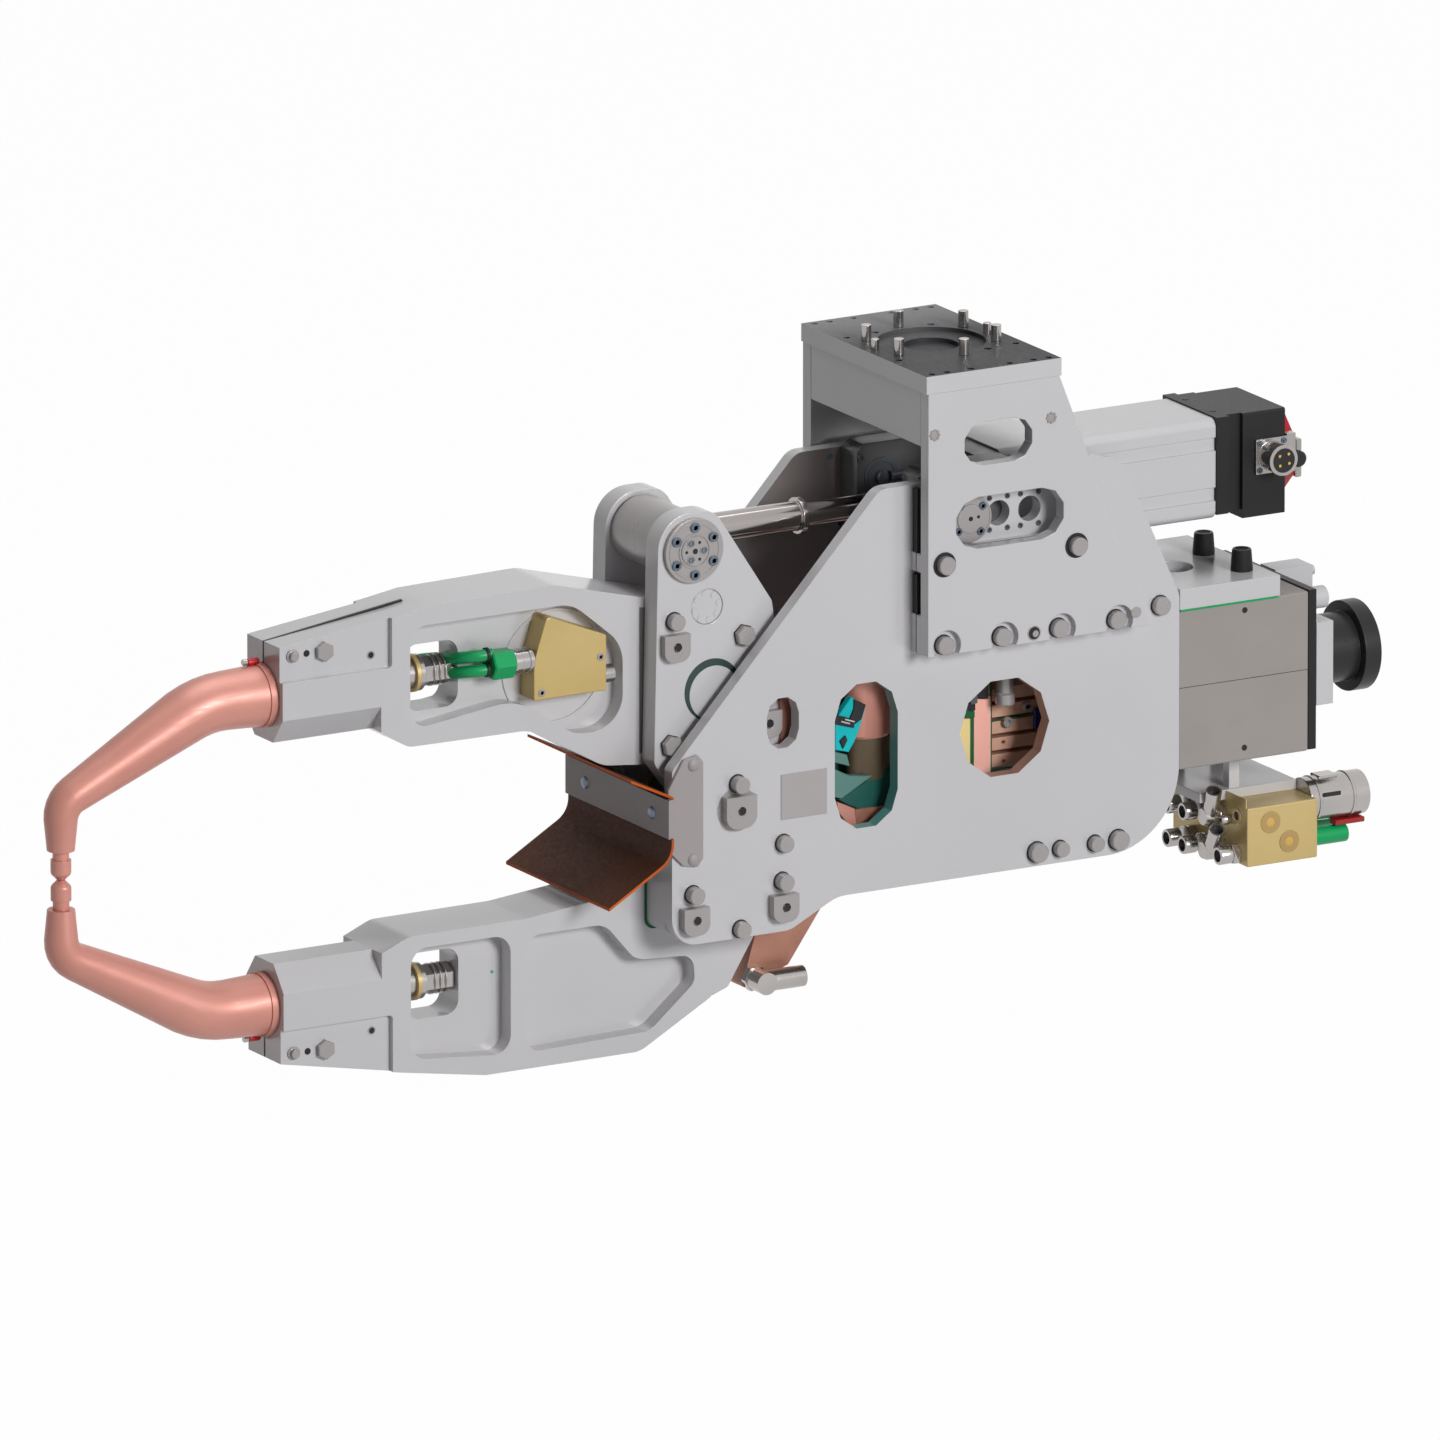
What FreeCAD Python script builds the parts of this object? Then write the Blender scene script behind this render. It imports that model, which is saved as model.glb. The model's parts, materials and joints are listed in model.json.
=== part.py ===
import FreeCAD, Part
import math
import os
import Sketcher

# Servo driven robot spot welding tongs, in millimetres.
# The origin is the centre of the robot mounting face. +Z points to the robot,
# -X to the electrode tips, and Y = 0 is the middle plane between the two side plates.
# "near" pieces lie on the -Y side and "far" pieces on the +Y side.

os.makedirs("parts", exist_ok=True)
doc = FreeCAD.newDocument("welding_tongs")
sheet = doc.addObject("Spreadsheet::Sheet", "Sizes")

SIZES = (
    # Robot mounting plate
    ("plate_length", 150.0),
    ("plate_thick", 17.5),
    ("spigot_radius", 53.0),
    ("spigot_depth", 4.0),
    ("spigot_bore_radius", 27.0),
    ("spigot_bore_depth", 8.5),
    ("stud_circle", 125.0),
    ("stud_radius", 5.0),
    ("stud_root_radius", 4.25),
    ("stud_relief", 0.5),
    ("stud_height", 16.0),
    ("stud_seat", 15.0),
    ("dowel_radius", 4.0),
    ("dowel_height", 10.0),
    ("dowel_seat", 12.0),
    ("screw_hole_radius", 3.3),
    ("screw_hole_depth", 14.0),
    ("spare_hole_radius", 3.8),
    ("side_screw_outer", 65.0),
    ("side_screw_middle", 48.0),
    ("side_screw_inner", 21.5),
    ("beam_screw_y", 50.0),
    # Robot console
    ("console_thick", 15.0),
    ("console_half", 73.0),
    ("console_foot_x", 176.0),
    ("console_bottom", -279.0),
    ("beam_height", 55.0),
    ("beam_thick", 20.0),
    ("rear_beam_height", 30.0),
    ("window_one_x", 5.0),
    ("window_one_z", -74.0),
    ("window_one_length", 77.0),
    ("window_one_height", 43.0),
    ("window_two_x", 18.0),
    ("window_two_z", -152.0),
    ("window_two_length", 122.0),
    ("window_two_height", 51.0),
    ("console_gap", 17.0),
    ("strip_thick", 1.0),
    ("upper_pad_top", -180.0),
    ("upper_pad_bottom", -198.0),
    ("upper_pad_end", 112.0),
    ("lower_pad_top", -241.0),
    ("console_bolt_front", -55.0),
    ("console_bolt_rear", 92.0),
    ("console_bolt_z", -188.5),
    ("row_bolt_x", -52.0),
    ("row_bolt_pitch", 64.0),
    ("row_bolt_z", -270.0),
    ("notch_radius", 15.5),
    ("notch_depth", 8.0),
    # Side plates of the gun
    ("main_half", 88.0),
    ("main_thick", 15.0),
    ("main_front", -338.5),
    ("main_shoulder_z", -363.0),
    ("main_top_x", -108.0),
    ("main_top", -114.0),
    ("main_top_end", 158.0),
    ("main_rear", 226.4),
    ("main_rear_z", -262.0),
    ("main_bottom", -512.5),
    ("main_heel_x", -155.0),
    ("main_heel_front", -208.0),
    ("main_toe", -539.0),
    ("main_rear_round", 80.0),
    ("main_toe_round", 28.0),
    ("slot_window_x", -123.0),
    ("slot_window_z", -376.0),
    ("slot_window_width", 70.0),
    ("slot_window_height", 147.0),
    ("round_window_x", 31.0),
    ("round_window_z", -369.0),
    ("round_window_radius", 50.0),
    ("access_hole_width", 35.5),
    ("access_hole_height", 51.5),
    ("access_hole_x", -215.6),
    ("access_hole_z", -331.6),
    ("bottom_bolt_z", -498.0),
    ("bottom_bolt_first", 66.5),
    ("bottom_bolt_step", 26.0),
    ("bottom_bolt_span", 65.0),
    ("cross_block_start", 50.0),
    ("cross_block_end", 170.0),
    ("cross_block_height", 23.0),
    # Hinge of the tongs
    ("pivot_x", -266.5),
    ("pivot_z", -410.5),
    ("contact_z", -407.0),
    ("axle_radius", 22.0),
    ("bush_wall", 5.0),
    ("pivot_hub_radius", 50.0),
    ("fit_clearance", 0.05),
    ("body_gap", 0.5),
    ("hub_gap", 6.0),
    ("head_radius", 15.5),
    ("head_thick", 10.0),
    ("head_hole_radius", 4.5),
    ("head_hole_depth", 7.0),
    ("lock_bolt_rise", 19.5),
    ("lock_head_radius", 8.5),
    ("lock_head_height", 12.0),
    ("lock_shank_radius", 4.0),
    ("pin_radius", 10.0),
    ("bolt_radius", 6.0),
    ("bolt_head_radius", 9.0),
    ("bolt_head_height", 8.0),
    ("hex_radius", 10.4),
    ("hex_height", 8.0),
    ("hole_clearance", 0.5),
    ("lower_pin_front", -316.0),
    ("lower_pin_rear", -217.0),
    ("lower_pin_z", -513.0),
    ("root_bolt_high_x", -215.5),
    ("root_bolt_high_z", -451.0),
    ("root_bolt_low_x", -263.0),
    ("root_bolt_low_z", -530.0),
    # Arms
    ("arm_half", 37.5),
    ("arm_end", -738.0),
    ("clamp_end", -630.0),
    ("electrode_rise", 153.0),
    ("electrode_seat_radius", 30.5),
    ("electrode_seat_depth", 90.0),
    ("clamp_slot_width", 3.0),
    ("clamp_slot_end", -585.0),
    ("clamp_recess_depth", 6.0),
    ("clamp_recess_height", 34.0),
    ("clamp_recess_end", -618.0),
    ("clamp_chamfer_width", 19.5),
    ("clamp_chamfer_height", 25.5),
    ("clamp_inner", 109.5),
    ("arm_outer_end", 206.0),
    ("clamp_screw_front", -723.0),
    ("clamp_screw_rear", -690.0),
    ("clamp_screw_rise", 197.0),
    ("pocket_depth", 19.0),
    ("pocket_front", -598.0),
    ("pocket_round", 18.0),
    ("window_front", -594.0),
    ("window_rear", -535.0),
    ("window_half", 33.0),
    ("window_round", 14.0),
    ("upper_pocket_top", -198.0),
    ("upper_pocket_rear", -364.0),
    ("upper_arm_rear", -200.0),
    ("spigot_x", -279.0),
    ("spigot_z", -296.0),
    ("arm_spigot_radius", 26.0),
    ("ear_bore_radius", 28.0),
    ("arm_spigot_recess", 7.0),
    ("lower_arm_bottom", -653.0),
    ("lower_arm_rear", -262.0),
    ("lower_root_front", -340.0),
    ("lower_root_rear", -188.0),
    ("lower_root_top", -436.0),
    ("lower_root_bottom", -548.0),
    # Lever ears and their pins
    ("ear_head_room", 10.5),
    ("ear_radius", 37.0),
    ("lever_pin_x", -301.5),
    ("lever_pin_z", -154.5),
    ("lever_pin_radius", 15.0),
    ("lever_disc_radius", 32.0),
    ("lever_disc_thick", 5.0),
    ("ear_heel_x", -213.0),
    ("ear_heel_z", -216.0),
    ("ear_rear", -203.5),
    ("ear_foot_x", -343.5),
    ("ear_foot_z", -362.0),
    ("ear_window_x", -285.0),
    ("ear_window_z", -213.0),
    ("ear_window_radius", 17.5),
    ("ear_window_depth", 4.0),
    ("upper_pin_front_x", -322.0),
    ("upper_pin_front_z", -247.0),
    ("upper_pin_rear_x", -220.5),
    ("upper_pin_rear_z", -336.0),
    ("ear_head_thick", 8.5),
    ("ear_bolt_front_x", -326.0),
    ("ear_bolt_front_z", -345.0),
    ("ear_bolt_rear_x", -245.0),
    ("ear_bolt_rear_z", -246.0),
    # Electrodes
    ("electrode_neck_radius", 28.5),
    ("electrode_elbow_radius", 27.5),
    ("electrode_wrist_radius", 18.5),
    ("electrode_finger_radius", 16.5),
    ("electrode_tip_radius", 13.5),
    ("elbow_bend", 100.0),
    ("wrist_bend", 26.0),
    ("tip_x", -960.0),
    ("elbow_x", -843.0),
    ("elbow_rise", 134.0),
    ("wrist_x", -937.0),
    ("wrist_rise", 87.0),
    ("tip_end_rise", 29.0),
    ("cap_radius", 10.0),
    ("cap_length", 20.0),
    ("cap_face_radius", 4.0),
    ("shank_radius", 8.0),
    ("tip_gap", 0.4),
    # Servo cylinder
    ("trunnion_x", -11.0),
    ("cylinder_z", -154.5),
    ("trunnion_radius", 12.5),
    ("trunnion_pitch", 34.6),
    ("trunnion_disc_radius", 24.0),
    ("trunnion_disc_thick", 6.0),
    ("trunnion_screw_x", 10.0),
    ("trunnion_screw_z", 15.7),
    ("trunnion_screw_radius", 2.2),
    ("cheek_front", -58.0),
    ("cheek_rear", 40.0),
    ("cheek_inner", 46.0),
    ("cheek_half", 40.0),
    ("servo_half", 50.0),
    ("housing_front", 12.0),
    ("housing_rear", 48.0),
    ("servo_rear", 289.5),
    ("servo_round", 9.0),
    ("rib_width", 13.0),
    ("rib_depth", 2.5),
    ("cover_flange_end", 303.0),
    ("cover_waist_end", 319.5),
    ("cover_end", 367.0),
    ("cover_step", 5.0),
    ("cover_round", 10.0),
    ("cap_thick", 17.0),
    ("cap_flat", 84.0),
    ("socket_plate", 35.0),
    ("socket_radius", 14.5),
    ("socket_length", 23.0),
    ("tube_radius", 14.5),
    ("rod_radius", 12.0),
    ("rod_gap", 1.0),
    ("rod_bore_end", 150.0),
    ("rod_end_x", 30.0),
    ("eye_radius", 33.0),
    ("eye_half", 35.0),
    ("eye_clearance", 6.0),
    ("ring_x", -145.0),
    ("ring_radius", 18.0),
    ("ring_length", 6.0),
    # Transformer and its rear
    ("transformer_top", -279.0),
    ("transformer_height", 160.0),
    ("transformer_front", 227.0),
    ("transformer_rear", 373.0),
    ("transformer_half", 86.0),
    ("top_plate_thick", 21.0),
    ("top_plate_rear", 340.0),
    ("tongue_front", 112.0),
    ("tongue_bore_x", 264.5),
    ("tongue_bore_y", -8.0),
    ("tongue_bore_radius", 21.5),
    ("rear_plate_thick", 9.0),
    ("buffer_x", 317.0),
    ("buffer_far_y", 19.0),
    ("buffer_near_y", -53.0),
    ("buffer_radius", 11.0),
    ("buffer_height", 21.0),
    ("rear_box_length", 42.0),
    ("rear_box_height", 23.0),
    ("rear_box_near", -8.0),
    ("rear_box_far", 21.0),
    ("rear_block_thick", 19.0),
    ("rear_block_top", -312.0),
    ("rear_block_bottom", -395.0),
    ("gland_length", 16.0),
    ("connector_neck_radius", 34.0),
    ("connector_radius", 44.5),
    ("connector_y", -38.0),
    ("connector_neck_end", 440.0),
    ("connector_end", 458.0),
    # Copper between the transformer and the two arms
    ("terminal_half", 30.0),
    ("column_front", 29.0),
    ("column_thick", 19.0),
    ("column_top", -310.0),
    ("column_bottom", -430.0),
    ("bar_top", -347.0),
    ("bar_thick", 12.5),
    ("bar_pitch", 16.5),
    ("terminal_block_front", 8.0),
    ("terminal_block_thick", 17.0),
    ("terminal_block_height", 52.0),
    ("arm_terminal_thick", 24.0),
    ("arm_terminal_top", -305.0),
    ("arm_terminal_bottom", -355.0),
    ("shunt_half", 29.0),
    ("shunt_thick", 12.0),
    ("shunt_bottom", -375.0),
    ("busbar_half", 13.0),
    ("elbow_fitting_x", -206.0),
    ("elbow_fitting_z", -604.0),
    # Water manifold under the transformer
    ("manifold_front", 305.0),
    ("manifold_rear", 384.0),
    ("manifold_top", -488.0),
    ("manifold_height", 59.0),
    ("manifold_near", -86.0),
    ("manifold_far", 56.0),
    ("coupling_radius", 22.0),
    ("coupling_length", 66.0),
    ("coupling_y", -54.0),
    ("coupling_z", -497.0),
    ("sleeve_radius", 9.0),
    ("near_sleeve_length", 46.0),
    ("far_sleeve_length", 66.0),
    ("near_sleeve_y", -60.0),
    ("far_sleeve_y", -24.0),
    ("near_sleeve_z", -534.0),
    ("far_sleeve_z", -527.0),
    ("hanger_thick", 10.0),
    ("post_half", 6.0),
    # Water parts on the upper arm
    ("inlet_neck", 16.0),
    ("inlet_radius", 15.0),
    ("inlet_ring_radius", 18.0),
    ("arm_manifold_front", -466.0),
    ("arm_manifold_rear", -386.0),
    ("arm_manifold_bottom", -286.5),
    ("arm_manifold_face", 45.0),
    ("arm_socket_radius", 11.5),
    ("arm_socket_length", 22.0),
    ("arm_nut_radius", 17.0),
    ("arm_nut_length", 24.0),
    ("arm_hose_y", 36.5),
    ("arm_hose_z", -251.0),
    ("arm_hose_pitch", 15.0),
    ("arm_hose_radius", 6.0),
    ("arm_hose_length", 62.0),
    # Spatter guard
    ("guard_x", -346.0),
    ("guard_half", 100.0),
    ("guard_top", -388.5),
    ("guard_bottom", -427.0),
    ("guard_sheet", 3.0),
    ("flange_end", -309.0),
    ("flange_top", -356.0),
    ("flange_bottom", -460.0),
    ("flap_thick", 2.5),
    ("flap_gap", 0.3),
    ("flap_overlap", 14.0),
    ("upper_flap_reach", 45.0),
    ("upper_flap_rise", 23.0),
    ("upper_flap_corner", 1.5),
    ("upper_flap_bend", 2.0),
    ("lower_flap_reach", 69.0),
    ("lower_flap_drop", 59.5),
    ("lower_flap_corner", 18.8),
    ("lower_flap_bend", 24.0),
)


class Size:
    """A size from the sheet, or a sum of such sizes: its formula and its value."""

    def __init__(self, text, value):
        self.text = text
        self.value = value

    def __add__(self, other):
        return Size(f"({self.text} + {text_of(other)})", self.value + value_of(other))

    def __radd__(self, other):
        return Size(f"({text_of(other)} + {self.text})", value_of(other) + self.value)

    def __sub__(self, other):
        return Size(f"({self.text} - {text_of(other)})", self.value - value_of(other))

    def __rsub__(self, other):
        return Size(f"({text_of(other)} - {self.text})", value_of(other) - self.value)

    def __mul__(self, other):
        return Size(f"({self.text} * {text_of(other)})", self.value * value_of(other))

    def __rmul__(self, other):
        return Size(f"({text_of(other)} * {self.text})", value_of(other) * self.value)

    def __truediv__(self, other):
        return Size(f"({self.text} / {text_of(other)})", self.value / value_of(other))

    def __neg__(self):
        return Size(f"(0 - {self.text})", -self.value)


def text_of(number):
    return number.text if isinstance(number, Size) else f"({float(number)!r})"


def value_of(number):
    return number.value if isinstance(number, Size) else float(number)


class SizeBook:
    """The sheet's sizes by name."""


book = SizeBook()
for row, (alias, number) in enumerate(SIZES, start=1):
    sheet.set(f"A{row}", alias)
    sheet.set(f"B{row}", repr(number))
    sheet.setAlias(f"B{row}", alias)
    setattr(book, alias, Size(f"Sizes.{alias}", number))
doc.recompute()

NEAR = -1
FAR = 1
SIDES = ((NEAR, "near"), (FAR, "far"))
PARTS = []


# Helpers that bind sizes to the sheet

def bind(thing, name, size):
    """Give a property its value, and its formula where the sheet holds it."""
    if isinstance(size, Size):
        thing.setExpression(name, size.text)
    else:
        thing.setExpression(name, f"{float(size)!r}")


def place(thing, x=0, y=0, z=0, turn=None):
    if turn is not None:
        thing.Placement = FreeCAD.Placement(FreeCAD.Vector(), turn)
    bind(thing, ".Placement.Base.x", x)
    bind(thing, ".Placement.Base.y", y)
    bind(thing, ".Placement.Base.z", z)
    return thing


def rotation(axis, degrees):
    return FreeCAD.Rotation(FreeCAD.Vector(*axis), degrees)


ALONG = {
    "+X": rotation((0, 1, 0), 90),
    "-X": rotation((0, 1, 0), -90),
    "+Y": rotation((1, 0, 0), -90),
    "-Y": rotation((1, 0, 0), 90),
    "+Z": rotation((0, 0, 1), 0),
    "-Z": rotation((1, 0, 0), 180),
}


def rod(name, radius, length, x, y, z, along="+Z"):
    """A round bar from one end point, along an axis."""
    bar = doc.addObject("Part::Cylinder", name)
    bind(bar, "Radius", radius)
    bind(bar, "Height", length)
    return place(bar, x, y, z, ALONG[along])


def taper(name, radius, end_radius, length, x, y, z, along="+Z"):
    cone = doc.addObject("Part::Cone", name)
    bind(cone, "Radius1", radius)
    bind(cone, "Radius2", end_radius)
    bind(cone, "Height", length)
    return place(cone, x, y, z, ALONG[along])


def hexagon(name, radius, length, x, y, z, along="+Z"):
    prism = doc.addObject("Part::Prism", name)
    prism.Polygon = 6
    bind(prism, "Circumradius", radius)
    bind(prism, "Height", length)
    return place(prism, x, y, z, ALONG[along])


def block(name, x, y, z, far_x, far_y, far_z):
    """A box between its lowest and highest corners."""
    box = doc.addObject("Part::Box", name)
    bind(box, "Length", far_x - x)
    bind(box, "Width", far_y - y)
    bind(box, "Height", far_z - z)
    return place(box, x, y, z)


def fuse(name, pieces):
    joined = doc.addObject("Part::MultiFuse", name)
    joined.Shapes = pieces
    joined.Refine = True
    return joined


def cut(name, base, tools):
    if len(tools) > 1:
        tool = doc.addObject("Part::MultiFuse", f"{name}_tools")
        tool.Shapes = tools
    else:
        tool = tools[0]
    result = doc.addObject("Part::Cut", name)
    result.Base = base
    result.Tool = tool
    return result


def group(name, pieces):
    """Several separate solids in one node."""
    bundle = doc.addObject("Part::Compound", name)
    bundle.Links = pieces
    return bundle


def keep(label, thing):
    """Name a finished sub-part and put it on the list of what is written."""
    thing.Label = label
    PARTS.append(thing)
    return thing


def half_turn(end):
    """The first five corners of ten on a circle of radius one, from its right or its left."""
    corners = []
    for i in range(5):
        turn = math.pi * i / 5
        corners.append((round(math.cos(turn) * end, 6) + 0.0, round(math.sin(turn) * end, 6) + 0.0))
    return corners


class Drawing:
    """A sketch on one of its body's origin planes, with every size bound to the sheet."""

    def __init__(self, body, name, plane, height=0.0, tilt=None, centre=None):
        self.sketch = body.newObject("Sketcher::SketchObject", name)
        for feature in body.Origin.OriginFeatures:
            if feature.Role == plane:
                self.sketch.AttachmentSupport = (feature, [""])
        self.sketch.MapMode = "FlatFace"
        if tilt is not None:
            self.sketch.AttachmentOffset = FreeCAD.Placement(FreeCAD.Vector(), tilt)
        if centre is not None:
            bind(self.sketch, "AttachmentOffset.Base.x", centre[0])
            bind(self.sketch, "AttachmentOffset.Base.y", centre[1])
        bind(self.sketch, "AttachmentOffset.Base.z", height)

    def fix(self, kind, *where_and_size):
        *where, size = where_and_size
        index = self.sketch.addConstraint(Sketcher.Constraint(kind, *where, value_of(size)))
        if isinstance(size, Size):
            self.sketch.setExpression(f"Constraints[{index}]", size.text)

    def fix_point(self, geometry, end, x, y):
        self.fix("DistanceX", -1, 1, geometry, end, x)
        self.fix("DistanceY", -1, 1, geometry, end, y)

    def circle(self, x, y, radius):
        centre = FreeCAD.Vector(value_of(x), value_of(y), 0)
        ring = Part.Circle(centre, FreeCAD.Vector(0, 0, 1), value_of(radius))
        index = self.sketch.addGeometry(ring, False)
        self.fix("Radius", index, radius)
        self.fix_point(index, 3, x, y)
        return self

    def outline(self, corners, closed=True):
        """Lines through corners: (x, y), or (x, y, radius) where the corner is rounded."""
        count = len(corners)
        last_corner = count - 1
        points = [FreeCAD.Vector(value_of(c[0]), value_of(c[1]), 0) for c in corners]
        rounds = [c[2] if len(c) > 2 else None for c in corners]
        starts = []
        ends = []
        arcs = []
        for i, point in enumerate(points):
            if rounds[i] is None:
                ends.append(point)
                starts.append(point)
                arcs.append(None)
                continue
            back = (points[i - 1] - point).normalize()
            ahead = (points[(i + 1) % count] - point).normalize()
            radius = value_of(rounds[i])
            half = back.getAngle(ahead) / 2
            reach = radius / math.tan(half)
            ends.append(point + back * reach)
            starts.append(point + ahead * reach)
            inner = point + (back + ahead).normalize() * (radius / math.sin(half) - radius)
            arcs.append(Part.Arc(ends[-1], inner, starts[-1]))
        lines = []
        for i in range(count if closed else last_corner):
            segment = Part.LineSegment(starts[i], ends[(i + 1) % count])
            lines.append(self.sketch.addGeometry(segment, False))
        for i in range(count):
            if not closed and i == 0:
                self.fix_point(lines[0], 1, corners[0][0], corners[0][1])
                continue
            if not closed and i == last_corner:
                self.fix_point(lines[-1], 2, corners[i][0], corners[i][1])
                continue
            before = lines[i - 1]
            after = lines[i]
            if arcs[i] is None:
                self.sketch.addConstraint(Sketcher.Constraint("Coincident", before, 2, after, 1))
                self.fix_point(after, 1, corners[i][0], corners[i][1])
                continue
            arc = self.sketch.addGeometry(arcs[i], False)
            turning = (starts[i] - ends[i]).cross(points[i] - ends[i]).z
            first, last = (1, 2) if turning < 0 else (2, 1)
            self.sketch.addConstraint(Sketcher.Constraint("Tangent", before, 2, arc, first))
            self.sketch.addConstraint(Sketcher.Constraint("Tangent", arc, last, after, 1))
            self.fix("Radius", arc, rounds[i])
            corner = self.sketch.addGeometry(Part.Point(points[i]), True)
            self.sketch.addConstraint(Sketcher.Constraint("PointOnObject", corner, 1, before))
            self.sketch.addConstraint(Sketcher.Constraint("PointOnObject", corner, 1, after))
            self.fix_point(corner, 1, corners[i][0], corners[i][1])
        return self

    def ten_sided(self, x, y, radius):
        """A round window cut as ten straight sides, with corners at its left and right."""
        return self.outline([
            (x + radius * across, y + radius * along) for across, along in half_turn(1) + half_turn(-1)
        ])

    def slot(self, x, y, length, height):
        """A window with straight sides, whose two ends are each half of a ten sided figure."""
        upright = value_of(height) > value_of(length)
        radius = (length if upright else height) / 2
        reach = (height if upright else length) / 2 - radius
        corners = []
        for end in (1, -1):
            for across, along in half_turn(end) + [(-1.0 * end, 0.0)]:
                side_step = radius * across
                end_step = radius * along + reach * end
                corners.append((x + side_step, y + end_step) if upright else (x + end_step, y - side_step))
        return self.outline(corners)


def new_body(name):
    return doc.addObject("PartDesign::Body", name)


def pad(body, name, drawing, length, reverse=False, both=False):
    feature = body.newObject("PartDesign::Pad", name)
    feature.Profile = drawing.sketch
    feature.Reversed = reverse
    if both:
        feature.SideType = "Symmetric"
    bind(feature, "Length", length)
    body.Tip = feature
    return feature


def pocket(body, name, drawing, length=None, reverse=False):
    """Cut to a depth, or through everything both ways where no depth is given."""
    feature = body.newObject("PartDesign::Pocket", name)
    feature.Profile = drawing.sketch
    feature.Reversed = reverse
    if length is None:
        feature.SideType = "Two sides"
        feature.Type = "ThroughAll"
        feature.Type2 = "ThroughAll"
    else:
        bind(feature, "Length", length)
    body.Tip = feature
    return feature


def revolve(body, name, drawing, axis):
    feature = body.newObject("PartDesign::Revolution", name)
    feature.Profile = drawing.sketch
    for origin_axis in body.Origin.OriginFeatures:
        if origin_axis.Role == axis:
            feature.ReferenceAxis = (origin_axis, [""])
    body.Tip = feature
    return feature


def plate_height(side, inner, outer):
    """Where a sketch on the XZ plane starts, so that its pad runs from it towards -Y."""
    return inner if side == NEAR else -outer


def side_block(name, side, x, inner, z, far_x, outer, far_z):
    if side == NEAR:
        return block(name, x, -outer, z, far_x, -inner, far_z)
    return block(name, x, inner, z, far_x, outer, far_z)


def outward(side):
    return "-Y" if side == NEAR else "+Y"


b = book
main_inner = b.main_half - b.main_thick
console_inner = b.main_half + b.console_gap
console_outer = console_inner + b.console_thick
ear_outer = main_inner - b.ear_head_room
ear_thick = ear_outer - b.arm_half
pad_thick = (b.console_gap - b.strip_thick) / 2
under_plate = -b.plate_thick
row_bolts = [b.row_bolt_x + b.row_bolt_pitch * i for i in range(5)]
bottom_bolts = [
    b.bottom_bolt_first, b.bottom_bolt_first + b.bottom_bolt_step,
    b.bottom_bolt_first + b.bottom_bolt_span,
    b.bottom_bolt_first + b.bottom_bolt_span + b.bottom_bolt_step,
]
lower_pins = ((b.lower_pin_front, b.lower_pin_z), (b.lower_pin_rear, b.lower_pin_z))
upper_pins = (
    (b.upper_pin_front_x, b.upper_pin_front_z), (b.upper_pin_rear_x, b.upper_pin_rear_z),
)
root_bolts = (
    (b.root_bolt_high_x, b.root_bolt_high_z), (b.root_bolt_low_x, b.root_bolt_low_z),
)
ear_bolts = (
    (b.ear_bolt_front_x, b.ear_bolt_front_z), (b.ear_bolt_rear_x, b.ear_bolt_rear_z),
)
console_bolts = (
    (b.console_bolt_front, b.console_bolt_z), (b.console_bolt_rear, b.console_bolt_z),
)


# Robot mounting plate with its studs and dowels

def on_circle(degrees):
    radius = b.stud_circle / 2
    angle = math.radians(degrees)
    return radius * round(math.cos(angle), 9), radius * round(math.sin(angle), 9)


STUD_ANGLES = range(30, 390, 60)
DOWEL_ANGLES = (0, 180)
SPARE_ANGLES = (60, 120, 300)


def make_mount_plate():
    body = new_body("mount_plate_body")
    outline = Drawing(body, "plate_outline", "XY_Plane")
    half_x = b.plate_length / 2
    half_y = console_outer
    outline.outline(((-half_x, -half_y), (half_x, -half_y), (half_x, half_y), (-half_x, half_y)))
    pad(body, "plate", outline, b.plate_thick, reverse=True)
    spigot = Drawing(body, "spigot_outline", "XY_Plane").circle(0, 0, b.spigot_radius)
    pocket(body, "spigot", spigot, b.spigot_depth)
    bore = Drawing(body, "bore_outline", "XY_Plane").circle(0, 0, b.spigot_bore_radius)
    pocket(body, "bore", bore, b.spigot_bore_depth)
    seats = Drawing(body, "stud_seats", "XY_Plane")
    for angle in STUD_ANGLES:
        seats.circle(*on_circle(angle), b.stud_root_radius + b.fit_clearance)
    pocket(body, "stud_holes", seats, b.stud_seat)
    reliefs = Drawing(body, "stud_reliefs", "XY_Plane")
    for angle in STUD_ANGLES:
        reliefs.circle(*on_circle(angle), b.stud_radius + b.fit_clearance)
    pocket(body, "stud_mouths", reliefs, b.stud_relief)
    dowels = Drawing(body, "dowel_seats", "XY_Plane")
    for angle in DOWEL_ANGLES:
        dowels.circle(*on_circle(angle), b.dowel_radius + b.fit_clearance)
    pocket(body, "dowel_holes", dowels, b.dowel_seat)
    screws = Drawing(body, "screw_seats", "XY_Plane")
    for along in (b.side_screw_outer, b.side_screw_middle, b.side_screw_inner):
        for x in (along, -along):
            for y in (console_inner + b.console_thick / 2, -(console_inner + b.console_thick / 2)):
                screws.circle(x, y, b.screw_hole_radius)
    for x in (b.side_screw_outer, -b.side_screw_outer):
        for y in (b.beam_screw_y, -b.beam_screw_y):
            screws.circle(x, y, b.screw_hole_radius)
    for angle in SPARE_ANGLES:
        screws.circle(*on_circle(angle), b.spare_hole_radius)
    pocket(body, "screw_holes", screws, b.screw_hole_depth)
    keep("mount_plate", body)


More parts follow.
